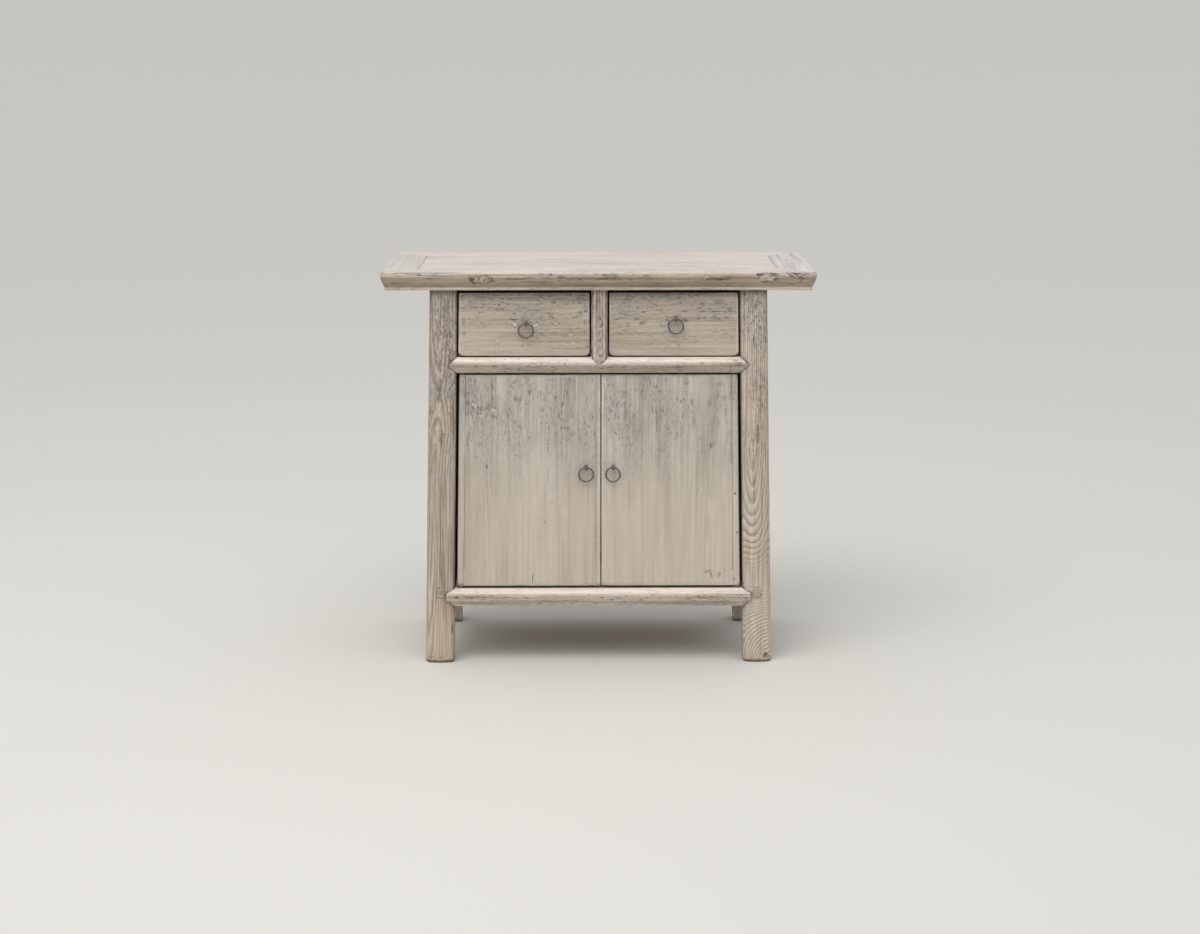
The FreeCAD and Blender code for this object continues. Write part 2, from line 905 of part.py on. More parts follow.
batten_places = (-top_batten_spacing / 2, top_batten_spacing / 2)
top_panel = top_panel_blank()
whole_top = top_slab()
panel_groove = top_panel_blank(top_panel_gap)
opening = block(
    -panel_half_length, panel_half_length, -panel_half_depth, panel_half_depth, underside, cabinet_height,
)
frame_blank = whole_top.cut(opening).cut(panel_groove)
for x_middle in batten_places:
    top_panel = top_panel.cut(top_batten(x_middle, joint_clearance))
    frame_blank = frame_blank.cut(top_batten(x_middle, joint_clearance))
for side in sides.values():
    for facing in (-1, 1):
        frame_blank = frame_blank.cut(leg_head(side, facing, joint_clearance))
frame_blank = frame_blank.cut(stile_tenons(joint_clearance))
keep("top_panel", top_panel)
keep("top_battens", Part.makeCompound([top_batten(x_middle) for x_middle in batten_places]))

outer_x = top_length / 2
outer_y = top_depth / 2
top_plans = {
    "top_front_rail": [
        (-outer_x, -outer_y), (outer_x, -outer_y),
        (panel_half_length, -panel_half_depth), (-panel_half_length, -panel_half_depth),
    ],
    "top_back_rail": [
        (-outer_x, outer_y), (outer_x, outer_y),
        (panel_half_length, panel_half_depth), (-panel_half_length, panel_half_depth),
    ],
    "top_end_left": [
        (-outer_x, -outer_y), (-outer_x, outer_y),
        (-panel_half_length, panel_half_depth), (-panel_half_length, -panel_half_depth),
    ],
    "top_end_right": [
        (outer_x, -outer_y), (outer_x, outer_y),
        (panel_half_length, panel_half_depth), (panel_half_length, -panel_half_depth),
    ],
}


def mitre_tongues(grow=0.0):
    """Tongues of the end rails, which enter the front and back rails across each mitre."""
    low = underside + mitre_tongue_raise
    tongues = []
    for x_sign in (-1, 1):
        for y_sign in (-1, 1):
            plan = []
            for x_share, y_share in mitre_tongue_shares:
                x = x_sign * (panel_half_length + top_rail_width * x_share)
                y = y_sign * (panel_half_depth + top_rail_width * y_share)
                plan.append((x, y))
            tongues.append(prism_xy(plan, low - grow, low + mitre_tongue_thickness + grow))
    return tongues


for name, plan in top_plans.items():
    rail = frame_blank.common(prism_xy(plan, underside, cabinet_height))
    if name in ("top_front_rail", "top_back_rail"):
        for tongue in mitre_tongues(joint_clearance):
            rail = rail.cut(tongue)
    else:
        sign = -1 if name == "top_end_left" else 1
        for tongue in mitre_tongues():
            if tongue.BoundBox.Center.x * sign > 0:
                rail = rail.fuse(tongue)
    keep(name, rail)


# Split-pin staples and rings

eye_radius = eye_hole_radius + eye_wire
ring_drop = eye_hole_radius - ring_wire - eye_play
eye_stand = eye_radius + eye_wire + seat_gap


def staple(x, z_ring, face_y, back_y):
    """Iron staple: an eye in front, a shank through the board, two prongs bent over behind it."""
    z_eye = z_ring + ring_radius + ring_drop
    eye_y = face_y - eye_stand
    centre = Vector(x, eye_y, z_eye)
    eye = Part.makeTorus(eye_radius, eye_wire, centre, Vector(1, 0, 0))
    shank_start = eye_y + eye_radius
    shank = Part.makeCylinder(
        shank_radius, back_y - shank_start, Vector(x, shank_start, z_eye), Vector(0, 1, 0),
    )
    prongs = block(
        x - prong_width / 2, x + prong_width / 2,
        back_y, back_y + prong_thickness,
        z_eye - prong_length, z_eye + prong_length,
    )
    hole = Part.makeCylinder(
        shank_radius + shank_clearance, back_y - face_y + 2 * overrun,
        Vector(x, face_y - overrun, z_eye), Vector(0, 1, 0),
    )
    return eye.fuse(shank).fuse(prongs), hole


def ring(x, z_ring, face_y):
    """Iron ring that hangs in its staple's eye."""
    return Part.makeTorus(ring_radius, ring_wire, Vector(x, face_y - eye_stand, z_ring), Vector(0, 1, 0))


# Drawers

drawer_back_y = back_rail_front_y - drawer_stop_gap
front_inner_y = board_face_y + drawer_front_thickness
side_bottom_z = drawer_bottom_z
side_top_z = underside - drawer_side_drop
drawer_side_height = side_top_z - side_bottom_z
panel_low_z = drawer_bottom_z + drawer_bottom_raise


def drawer_tails(x_low, x_high, grow=0.0):
    """Dovetails on the front end of a drawer side."""
    tails = []
    tail_pitch = drawer_side_height / tail_count
    for index in range(tail_count):
        z_middle = side_bottom_z + tail_pitch * index + tail_pitch / 2
        narrow = tail_narrow / 2 + grow
        wide = tail_narrow / 2 + tail_flare + grow
        outline = [
            (front_inner_y, z_middle - narrow),
            (front_inner_y - tail_length - grow, z_middle - wide),
            (front_inner_y - tail_length - grow, z_middle + wide),
            (front_inner_y, z_middle + narrow),
        ]
        tails.append(prism_yz(outline, x_low - grow, x_high + grow))
    return tails


def drawer_panel(x_low, x_high, grow=0.0):
    """Thin bottom in the grooves of the sides and the front, run out under the back."""
    reach = drawer_groove - groove_end_gap + grow
    slack = min(grow, joint_clearance)
    return block(
        x_low + drawer_side_thickness - reach, x_high - drawer_side_thickness + reach,
        front_inner_y - reach, drawer_back_y + grow,
        panel_low_z - slack, panel_low_z + drawer_bottom_thickness + slack,
    )


def drawer_back(x_low, x_high, grow=0.0):
    """Back of a drawer, housed in both sides."""
    reach = drawer_groove + grow
    return block(
        x_low + drawer_side_thickness - reach, x_high - drawer_side_thickness + reach,
        drawer_back_y - drawer_back_margin - drawer_back_thickness - grow,
        drawer_back_y - drawer_back_margin + grow,
        panel_low_z + drawer_bottom_thickness, side_top_z - drawer_back_drop + grow,
    )


for side_name, side in sides.items():
    x_low, x_high = drawer_span(side)
    stile_edge = stile_offset + side * (stile_width / 2 + drawer_gap)
    leg_low = side * (leg_inner(drawer_bottom_z) - drawer_gap)
    leg_high = side * (leg_inner(drawer_top_z) - drawer_gap)
    corners = [
        Vector(stile_edge, board_face_y, drawer_bottom_z),
        Vector(leg_low, board_face_y, drawer_bottom_z),
        Vector(leg_high, board_face_y, drawer_top_z),
        Vector(stile_edge, board_face_y, drawer_top_z),
    ]
    radii = [drawer_corner, drawer_corner, drawer_upper_corner, drawer_upper_corner]
    outline = rounded_wire(corners, radii)
    front = Part.Face(outline).extrude(Vector(0, drawer_front_thickness, 0))
    side_boards = {
        "inner": (x_low, x_low + drawer_side_thickness),
        "outer": (x_high - drawer_side_thickness, x_high),
    }
    if side < 0:
        side_boards = {"inner": side_boards["outer"], "outer": side_boards["inner"]}
    name = "drawer_" + side_name
    for board_name, (board_low, board_high) in side_boards.items():
        board = block(board_low, board_high, front_inner_y, drawer_back_y, side_bottom_z, side_top_z)
        for tail in drawer_tails(board_low, board_high):
            board = board.fuse(tail)
        for socket in drawer_tails(board_low, board_high, joint_clearance):
            front = front.cut(socket)
        board = board.cut(drawer_panel(x_low, x_high, joint_clearance))
        board = board.cut(drawer_back(x_low, x_high, joint_clearance))
        keep(name + "_" + board_name + "_side", board)
    front = front.cut(drawer_panel(x_low, x_high, joint_clearance))
    ring_x = stile_edge + (leg_low - stile_edge) * drawer_ring_across_shares[side_name]
    ring_z = drawer_bottom_z + (drawer_top_z - drawer_bottom_z) * drawer_ring_height_shares[side_name]
    pin, hole = staple(ring_x, ring_z, board_face_y, front_inner_y)
    keep(name + "_front", front.cut(hole))
    keep(name + "_back", drawer_back(x_low, x_high))
    keep(name + "_bottom", drawer_panel(x_low, x_high))
    keep(name + "_staple", pin)
    keep(name + "_ring", ring(ring_x, ring_z, board_face_y))


# Doors

door_low_z = lower_rail_top + door_bottom_gap
door_high_z = middle_rail_bottom - door_top_gap
door_middle_y = board_face_y + door_thickness / 2
door_ring_height = door_low_z + (door_high_z - door_low_z) * door_ring_height_share
door_ring_places = {
    "left": door_meeting_offset - left_door_ring_inset,
    "right": door_meeting_offset + right_door_ring_inset,
}


def door_edge(side, setback):
    """Vertical line of a door that follows the leg, as a function of height."""
    def place(z):
        return side * (leg_inner(z) - door_side_gap - setback)

    return place


def pivot_pin(side, grow, low_reach, high_reach):
    """The two round pins on one door's axis, reaching past the door's lower and upper ends."""
    axis_place = door_edge(side, pivot_strip_width / 2)
    low = Vector(axis_place(door_low_z), door_middle_y, door_low_z)
    high = Vector(axis_place(door_high_z), door_middle_y, door_high_z)
    direction = (high - low).normalize()
    radius = pivot_radius + grow
    lower = Part.makeCylinder(radius, low_reach / direction.z, low, direction * -1)
    upper = Part.makeCylinder(radius, high_reach / direction.z, high, direction)
    return lower, upper


def edge_tongue(side, place, grow=0.0):
    """Tongue along a door board's edge, at a line given as a function of height."""
    reach = edge_tongue_length + grow

    def near(z):
        return place(z)

    def far(z):
        return place(z) + side * reach

    half = edge_tongue_thickness / 2 + grow
    return slab(near, far, door_low_z, door_high_z, door_middle_y - half, door_middle_y + half)


def door_batten(x_inner, x_outer, z_middle, grow=0.0):
    """Batten across a door's back with its dovetail in the board."""
    low = min(x_inner, x_outer)
    high = max(x_inner, x_outer)
    outline = []
    for depth, across in key_points(key_neck, key_flare, key_depth, grow):
        outline.append((door_back_y - depth, z_middle + across))
    key = prism_yz(outline, low, high)
    if grow > 0:
        return key
    body = block(
        low, high, door_back_y, door_back_y + door_batten_thickness,
        z_middle - door_batten_height / 2, z_middle + door_batten_height / 2,
    )
    return body.fuse(key)


for side_name, side in sides.items():
    name = "door_" + side_name
    outer_edge = door_edge(side, 0)
    board_outer = door_edge(side, pivot_strip_width)
    meeting_x = door_meeting_offset + side * door_meeting_gap / 2

    def strip_edge(z):
        """Where the left door's board stops for its edge strip; the right board runs to the meeting line."""
        return meeting_x - edge_strip_width if side < 0 else meeting_x

    def meeting_edge(z):
        return meeting_x

    board = slab(board_outer, strip_edge, door_low_z, door_high_z, board_face_y, door_back_y)
    board = board.fuse(edge_tongue(side, board_outer))
    if side < 0:
        board = board.fuse(edge_tongue(1, strip_edge))
        strip = slab(strip_edge, meeting_edge, door_low_z, door_high_z, board_face_y, door_back_y)
        keep(name + "_edge_strip", strip.cut(edge_tongue(1, strip_edge, joint_clearance)))

    low_outer = outer_edge(door_low_z)
    low_inner = board_outer(door_low_z)
    corners = [
        Vector(low_outer, board_face_y, door_low_z),
        Vector(low_inner, board_face_y, door_low_z),
        Vector(low_inner, door_back_y, door_low_z),
        Vector(low_outer, door_back_y, door_low_z),
    ]
    outline = rounded_wire(corners, [pivot_strip_front_round, 0, 0, pivot_strip_width / 2])
    lean = Vector(outer_edge(door_high_z) - low_outer, 0, door_high_z - door_low_z)
    pivot_strip = Part.Face(outline).extrude(lean)
    pins = pivot_pin(
        side, 0, door_bottom_gap + pivot_depth - seat_gap, door_top_gap + pivot_depth - seat_gap,
    )
    for pin in pins:
        pivot_strip = pivot_strip.fuse(pin)
    pivot_strip = pivot_strip.cut(edge_tongue(side, board_outer, joint_clearance))
    keep(name + "_pivot_strip", pivot_strip)
    lower_socket, upper_socket = pivot_pin(
        side, pivot_clearance, door_bottom_gap + pivot_depth, door_top_gap + pivot_depth,
    )
    lower_rail = lower_rail.cut(lower_socket)
    middle_rail = middle_rail.cut(upper_socket)

    batten_outer = board_outer(door_high_z) - side * door_batten_end
    batten_inner = strip_edge(0) + side * door_batten_end
    battens = []
    for z_middle in (door_low_z + door_batten_inset, door_high_z - door_batten_inset):
        battens.append(door_batten(batten_inner, batten_outer, z_middle))
        board = board.cut(door_batten(batten_inner, batten_outer, z_middle, joint_clearance))
    keep(name + "_battens", Part.makeCompound(battens))

    ring_x = door_ring_places[side_name]
    pin, hole = staple(ring_x, door_ring_height, board_face_y, door_back_y)
    keep(name + "_board", board.cut(hole))
    keep(name + "_staple", pin)
    keep(name + "_ring", ring(ring_x, door_ring_height, board_face_y))


# Pieces that other pieces were cut into

for (end_name, side_name), leg in legs.items():
    keep("leg_" + end_name + "_" + side_name, leg)
for (level, side_name), rail in side_rails.items():
    keep("side_" + level + "_rail_" + side_name, rail)
for level, rail in back_rails.items():
    keep("back_" + level + "_rail", rail)
keep("front_middle_rail", middle_rail)
keep("front_lower_rail", lower_rail)
keep("centre_stile", centre_stile)

os.makedirs("parts", exist_ok=True)
for name, shape in nodes.items():
    shape.exportStep("parts/" + name + ".step")
    print(name, len(shape.Solids), "solid", round(shape.Volume), "cubic mm, valid:", shape.isValid())
print(len(nodes), "nodes")
for side in sides.values():
    axis_place = door_edge(side, pivot_strip_width / 2)
    print(
        "door axis from", (axis_place(door_low_z), door_middle_y, door_low_z),
        "to", (axis_place(door_high_z), door_middle_y, door_high_z),
    )
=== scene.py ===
# %% [markdown]
# # A kang cabinet in weathered elm
# The cabinet is old country furniture from northern China: four legs that splay to the sides, a heavy
# mitred top, two drawers over two plank doors, and forged ring pulls. The solids of its joinery come from
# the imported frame. This script dresses them: it wears their arrises, cuts dents and cracks into them, and
# gives each board its own grain.

# %% Load the frame
import math

import bmesh
import bpy
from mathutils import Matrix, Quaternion, Vector, bvhtree, kdtree, noise


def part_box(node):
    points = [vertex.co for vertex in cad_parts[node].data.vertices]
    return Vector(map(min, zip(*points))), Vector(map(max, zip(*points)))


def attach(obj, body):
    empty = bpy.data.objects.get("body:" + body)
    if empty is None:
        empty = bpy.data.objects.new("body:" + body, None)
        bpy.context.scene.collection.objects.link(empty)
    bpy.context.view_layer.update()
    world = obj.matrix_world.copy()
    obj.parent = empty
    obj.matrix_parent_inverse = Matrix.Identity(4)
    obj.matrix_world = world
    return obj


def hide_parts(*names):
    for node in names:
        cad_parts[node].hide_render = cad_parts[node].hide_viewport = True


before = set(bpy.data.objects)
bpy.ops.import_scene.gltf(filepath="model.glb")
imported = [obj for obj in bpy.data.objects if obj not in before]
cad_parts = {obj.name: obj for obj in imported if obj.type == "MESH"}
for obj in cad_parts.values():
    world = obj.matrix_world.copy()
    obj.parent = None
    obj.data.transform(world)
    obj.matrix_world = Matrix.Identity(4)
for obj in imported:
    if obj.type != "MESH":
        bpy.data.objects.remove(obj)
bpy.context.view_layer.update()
mm = 0.001

# %% [markdown]
# ## Camera
# The photograph was taken from five metres away at eye height, with the camera tipped down by twelve
# degrees. A real tip of the camera keeps the uprights' slight convergence, which a lens shift would lose.

# %% Camera
lens_mm = 63.45
sensor_mm = 36.0
camera_place = (-0.040, -5.031, 1.520)
camera_tip = math.radians(90 - 12.15)
camera_turn = math.radians(-0.512)

camera_data = bpy.data.cameras.new("camera")
camera_data.lens = lens_mm
camera_data.sensor_width = sensor_mm
camera = bpy.data.objects.new("camera", camera_data)
camera.location = camera_place
camera.rotation_euler = (camera_tip, 0, camera_turn)
bpy.context.scene.collection.objects.link(camera)
bpy.context.scene.camera = camera
bpy.context.scene.view_settings.view_transform = "Standard"
print("camera at", camera_place)

# %% [markdown]
# ## Materials, and the one function that builds them
# Every shader below is a small graph of nodes. One function adds a node, sets it up and links it, so a
# material reads from top to bottom like a recipe. Colours are written as sRGB hex values, as they are read
# off a screen, and one function turns them into the linear values that the renderer works with.

# %% Colours and nodes
def linear(hex_colour):
    """Linear RGBA of an sRGB hex colour."""
    parts = [int(hex_colour[i:i + 2], 16) / 255 for i in (1, 3, 5)]
    return [p / 12.92 if p <= 0.04045 else ((p + 0.055) / 1.055) ** 2.4 for p in parts] + [1.0]


def add_node(tree, kind, inputs, stops=(), **settings):
    """One node with its settings; an input is a value or the socket that feeds it."""
    node = tree.nodes.new("ShaderNode" + kind)
    for name, value in settings.items():
        setattr(node, name, value)
    for key, value in inputs.items():
        if isinstance(value, bpy.types.NodeSocket):
            tree.links.new(value, node.inputs[key])
        else:
            node.inputs[key].default_value = value
    for index, (place, colour) in enumerate(stops):
        ramp = node.color_ramp.elements
        stop = ramp[index] if index < 2 else ramp.new(place)
        stop.position = place
        stop.color = linear(colour)
    return node


def new_material(name):
    """Empty node material with its output node."""
    material = bpy.data.materials.new(name)
    material.use_nodes = True
    material.node_tree.nodes.clear()
    return material, material.node_tree


# %% [markdown]
# ## Light, sky and floor
# The cabinet was photographed outdoors under an overcast sky, which is a very large soft light from above.
# It whitens every face that looks up, leaves the fronts in half tone and keeps the undersides and the floor
# below dark. A dome that is brightest overhead and weakest behind the cabinet does the same in a studio. The
# camera itself sees a plain pale backdrop in place of the dome.

# %% Sky
dome_strength = 1.64
dome_front_share = 1.08
dome_back_share = 0.45

world = bpy.data.worlds.new("overcast")
bpy.context.scene.world = world
world.use_nodes = True
sky = world.node_tree
sky.nodes.clear()
direction = add_node(sky, "TexCoord", {})
ray = add_node(sky, "SeparateXYZ", {"Vector": direction.outputs["Generated"]})
dome = add_node(
    sky, "ValToRGB", {"Fac": ray.outputs["Z"]},
    stops=[(0.0, "#3E444D"), (1.0, "#FFFFFF"), (0.3, "#8C929B"), (0.65, "#EBEDF0")],
)
front_light = add_node(
    sky, "MapRange",
    {"Value": ray.outputs["Y"], "From Min": -1, "From Max": 1, "To Min": dome_front_share * dome_strength,
     "To Max": dome_back_share * dome_strength},
)
dome_light = add_node(
    sky, "Background", {"Color": dome.outputs["Color"], "Strength": front_light.outputs[0]},
)
backdrop_light = add_node(sky, "Background", {"Color": linear("#C6C5C0"), "Strength": 1.0})
rays = add_node(sky, "LightPath", {})
seen = add_node(
    sky, "Math", {0: rays.outputs["Is Camera Ray"], 1: rays.outputs["Is Glossy Ray"]},
    operation="MAXIMUM",
)
sky_mix = add_node(
    sky, "MixShader",
    {0: seen.outputs[0], 1: dome_light.outputs[0], 2: backdrop_light.outputs[0]},
)
add_node(sky, "OutputWorld", {"Surface": sky_mix.outputs[0]})

# %% A broad soft lamp high on the left, so that the mouldings have a bright side
lamp_data = bpy.data.lights.new("soft_box", "AREA")
lamp_data.shape = "RECTANGLE"
lamp_data.size = 2.6
lamp_data.size_y = 2.2
lamp_data.energy = 78.0
lamp = bpy.data.objects.new("soft_box", lamp_data)
lamp.location = (-1.1, -2.0, 4.3)
lamp.rotation_euler = (Vector((0, 0, 0.5)) - lamp.location).to_track_quat("-Z", "Y").to_euler()
bpy.context.scene.collection.objects.link(lamp)

# %% Floor
floor_half = 60.0
floor_shape = bmesh.new()
bmesh.ops.create_grid(floor_shape, x_segments=1, y_segments=1, size=floor_half)
floor_mesh = bpy.data.meshes.new("floor")
floor_shape.to_mesh(floor_mesh)
floor_shape.free()
floor = bpy.data.objects.new("floor", floor_mesh)
bpy.context.scene.collection.objects.link(floor)
floor_material, tree = new_material("studio_floor_matt_paper")
surface = add_node(
    tree, "BsdfPrincipled",
    {"Base Color": linear("#CFCCC5"), "Roughness": 0.95, "Specular IOR Level": 0.2},
)
add_node(tree, "OutputMaterial", {"Surface": surface.outputs[0]})
floor_mesh.materials.append(floor_material)
print("floor and light are in place")

# %% [markdown]
# ## Weathered elm
# Elm is a coarse, open wood. Its summer rings are hard and brown, and the spring wood between them is pale
# and soft, so a century of scrubbing leaves the rings standing as fine ridges and the hollows between them
# pale. A board shows the rings as straight stripes where it runs level with the heart of the tree, and as
# pointed arches where the saw came nearer to the heart or left it.
#
# The pattern is therefore worked out as it grows: rings round a heart line that is given by a few stations
# along the board. The distance to that line, shaken a little by noise, is cut into years. Around it come
# the streaks of the fibres, the dark flecks where dirt has stayed in open pores, and grey weathered patches.
# Attributes of the mesh say where the wood differs for another reason: ledge is a face that looks up and
# is bleached, under is one that looks down and gets painted shade, corner is a place that other pieces hem
# in and gets painted shade mixed with dirt, end is end grain, arris is a rubbed edge, hollow holds dirt and,
# in the band at the top of each drawer front, a painted shadow, and scar is freshly broken wood and, in a
# band along the middle rail, a painted highlight.
#
# A finish is set by the year's growth in millimetres, by how strongly the rings, the pale wood between them
# (lime), the flecks, the smoke round them and the grey patches show, and by the heights where the flecks
# begin and where the wood turns warm.

# %% The shader of weathered elm
grain_order = {"X": ("Y", "Z", "X"), "Y": ("X", "Z", "Y"), "Z": ("X", "Y", "Z")}


def weathered_elm(
    name, grain, tones, ledge_tones, heart_path, ring_mm=3.6, ring_show=0.6, lime=0.4, shake_mm=14,
    streak_mm=8, rubbed=1.0, wander=1.0, calm_at_mm=-5000, warm=0.0, warm_tone="#D2BC9F", warm_from_mm=190,
    warm_to_mm=90, dusty=0.0, fleck=0.5, fleck_from_mm=-5000, fleck_to_mm=-4000, smoke=0.3, grey=0.5,
    relief_mm=0.35,
):
    """Sawn and scrubbed elm; tones are light, body, band and grey as sRGB hex."""
    material, tree = new_material(name)
    point = add_node(tree, "TexCoord", {}).outputs["Object"]
    split = add_node(tree, "SeparateXYZ", {"Vector": point})
    first, second, along = [split.outputs[axis] for axis in grain_order[grain]]

    def sums(operation, a, b=0.0):
        """One step of arithmetic."""
        return add_node(tree, "Math", {0: a, 1: b}, operation=operation).outputs[0]

    def ranged(value, low, high, out_low=0.0, out_high=1.0, kind="SMOOTHSTEP"):
        """Soft or straight step of a value between two limits."""
        return add_node(
            tree, "MapRange",
            {"Value": value, "From Min": low, "From Max": high, "To Min": out_low, "To Max": out_high},
            interpolation_type=kind,
        ).outputs[0]

    def cloud(length_share, size_mm, detail=2.0, roughness=0.5):
        """Noise whose patches are size_mm wide and longer along the grain."""
        squeezed = add_node(
            tree, "CombineXYZ", {"X": first, "Y": second, "Z": sums("MULTIPLY", along, length_share)},
        )
        return add_node(
            tree, "TexNoise",
            {"Vector": squeezed.outputs[0], "Scale": 1 / (size_mm * mm), "Detail": detail,
             "Roughness": roughness},
        ).outputs[0]

    def blend(share, a, b):
        """Mix of two colours."""
        return add_node(tree, "Mix", {0: share, 6: a, 7: b}, data_type="RGBA").outputs[2]

    def known(attribute):
        """What the mesh knows about the place."""
        return add_node(tree, "Attribute", {}, attribute_name=attribute).outputs["Fac"]

    def heart(column):
        """Where the heart line is across the board, going straight from station to station."""
        place = heart_path[0][column] * mm
        for start, end in zip(heart_path, heart_path[1:]):
            step = ranged(
                along, start[0] * mm, end[0] * mm, 0.0, (end[column] - start[column]) * mm, "LINEAR",
            )
            place = sums("ADD", place, step)
        return place

    from_heart = add_node(
        tree, "CombineXYZ",
        {"X": sums("SUBTRACT", first, heart(1)), "Y": sums("SUBTRACT", second, heart(2))},
    )
    reach = add_node(tree, "VectorMath", {0: from_heart.outputs[0]}, operation="LENGTH").outputs["Value"]
    shake = sums("MULTIPLY", sums("SUBTRACT", cloud(0.2, 60, 2.0), 0.5), shake_mm * mm)
    years = sums("DIVIDE", sums("ADD", reach, shake), ring_mm * mm)
    years = sums("ADD", years, sums("MULTIPLY", cloud(0.12, 26, 3.0), wander))
    season = sums("FRACT", years)
    ring = add_node(
        tree, "ValToRGB", {"Fac": season},
        stops=[(0.0, "#404040"), (1.0, "#404040"), (0.1, "#000000"), (0.5, "#282828"), (0.72, "#F0F0F0"),
               (0.86, "#FFFFFF")],
    ).outputs["Color"]
    spring = ranged(sums("ABSOLUTE", sums("SUBTRACT", season, 0.16)), 0.17, 0.04)

    fibre = cloud(0.03, 1.8, 2.0)
    streak = cloud(0.03, streak_mm, 3.0, 0.6)
    broad = cloud(0.3, 110, 2.0)
    patch = cloud(0.22, 34, 4.0, 0.65)
    drifts = cloud(0.3, 42, 4.0, 0.65)
    ledge = known("ledge")

    light, body, band, grey_tone = [
        blend(ledge, linear(tone), linear(ledge_tone)) for tone, ledge_tone in zip(tones, ledge_tones)
    ]
    tone = sums("ADD", sums("MULTIPLY", streak, 0.62), sums("MULTIPLY", broad, 0.38))
    colour = blend(ranged(tone, 0.36, 0.5), band, body)
    colour = blend(ranged(tone, 0.48, 0.64), colour, light)
    strength = ranged(broad, 0.32, 0.62, 0.4, 1.0)
    off_calm = sums("ABSOLUTE", sums("SUBTRACT", along, calm_at_mm * mm))
    strength = sums("MULTIPLY", strength, ranged(off_calm, 30 * mm, 90 * mm, 0.25, 1.0))
    colour = blend(sums("MULTIPLY", sums("MULTIPLY", ring, strength), ring_show), colour, band)
    colour = blend(sums("MULTIPLY", sums("MULTIPLY", spring, strength), lime), colour, light)
    colour = blend(sums("MULTIPLY", ranged(fibre, 0.6, 0.36), 0.2), colour, band)
    colour = blend(sums("MULTIPLY", ranged(patch, 0.54, 0.68), grey), colour, grey_tone)

    # dirt in the pores: a soft smoke in drifts, and in it short dark dashes along the grain. Single pores are
    # a fifth of a millimetre wide and wouldn't show, so the dashes are drawn as wide as clusters of them
    zone = ranged(split.outputs["Z"], fleck_from_mm * mm, fleck_to_mm * mm, 0.15, 1.0)
    scrubbed = ranged(ledge, 0, 1, 1.0, 0.5, "LINEAR")
    cover = sums("MULTIPLY", sums("MULTIPLY", ranged(drifts, 0.42 - dusty, 0.62 - dusty), zone), scrubbed)
    grain_dust = ranged(cloud(0.12, 5, 3.0, 0.7), 0.4, 0.62)
    haze = sums("MULTIPLY", sums("MULTIPLY", cover, ranged(grain_dust, 0, 1, 0.35, 1.0, "LINEAR")), smoke)
    colour = blend(haze, colour, linear("#85847F"))
    pores = cloud(0.32, 4.4, 3.0, 0.7)
    chalk = sums("MULTIPLY", sums("MULTIPLY", ranged(pores, 0.43, 0.34), zone), lime)
    colour = blend(chalk, colour, light)
    dash = ranged(pores, 0.55, 0.63)
    dirt = sums("MULTIPLY", sums("MULTIPLY", dash, cover), fleck)
    colour = blend(dirt, colour, linear("#5E5C5B"))

    # rubbed arrises are pale; undersides get painted shade, and hemmed-in corners painted shade mixed with
    # dirt
    arris = sums("MULTIPLY", known("arris"), ranged(patch, 0.3, 0.6, 0.5 * rubbed, 0.95 * rubbed))
    colour = blend(arris, colour, linear("#E2D6C7"))
    colour = blend(sums("MULTIPLY", known("end"), 0.25), colour, linear("#A39686"))
    low_down = ranged(split.outputs["Z"], warm_from_mm * mm, warm_to_mm * mm)
    colour = blend(sums("MULTIPLY", low_down, warm), colour, linear(warm_tone))
    # painted shade: faces that look down are darkened towards a dull brown
    colour = blend(sums("MULTIPLY", known("under"), ranged(patch, 0.3, 0.6, 0.4, 0.75)), colour,
                   linear("#7E7060"))
    # painted shade mixed with dirt: places that other pieces hem in are darkened towards a grey brown
    colour = blend(sums("MULTIPLY", known("corner"), ranged(patch, 0.3, 0.65, 0.6, 0.95)), colour,
                   linear("#504C48"))
    colour = blend(known("scar"), colour, linear("#DACFC2"))
    colour = blend(known("hollow"), colour, linear("#4B4844"))
    # the lowest centimetre, at the feet, is painted darker
    darker_at_floor = ranged(split.outputs["Z"], 11 * mm, 2 * mm, 0.0, 0.7)
    colour = blend(darker_at_floor, colour, linear("#4F4A45"))

    ridges = sums("ADD", sums("MULTIPLY", ring, 0.55), sums("MULTIPLY", fibre, 0.45))
    ridges = sums("SUBTRACT", ridges, sums("MULTIPLY", dirt, 0.8))
    bump = add_node(
        tree, "Bump", {"Strength": 0.7, "Distance": relief_mm * mm, "Height": ridges},
    )
    surface = add_node(
        tree, "BsdfPrincipled",
        {"Base Color": colour, "Roughness": ranged(streak, 0.3, 0.7, 0.72, 0.9), "IOR": 1.5,
         "Specular IOR Level": 0.25, "Normal": bump.outputs[0]},
    )
    add_node(tree, "OutputMaterial", {"Surface": surface.outputs[0]})
    return material


# %% [markdown]
# ## Iron
# The pulls are wrought iron: hammered, blackened and since then rubbed and rusted. A rough dark metal with
# brown rust in its hollows gives that, and the hammer marks are in the mesh.

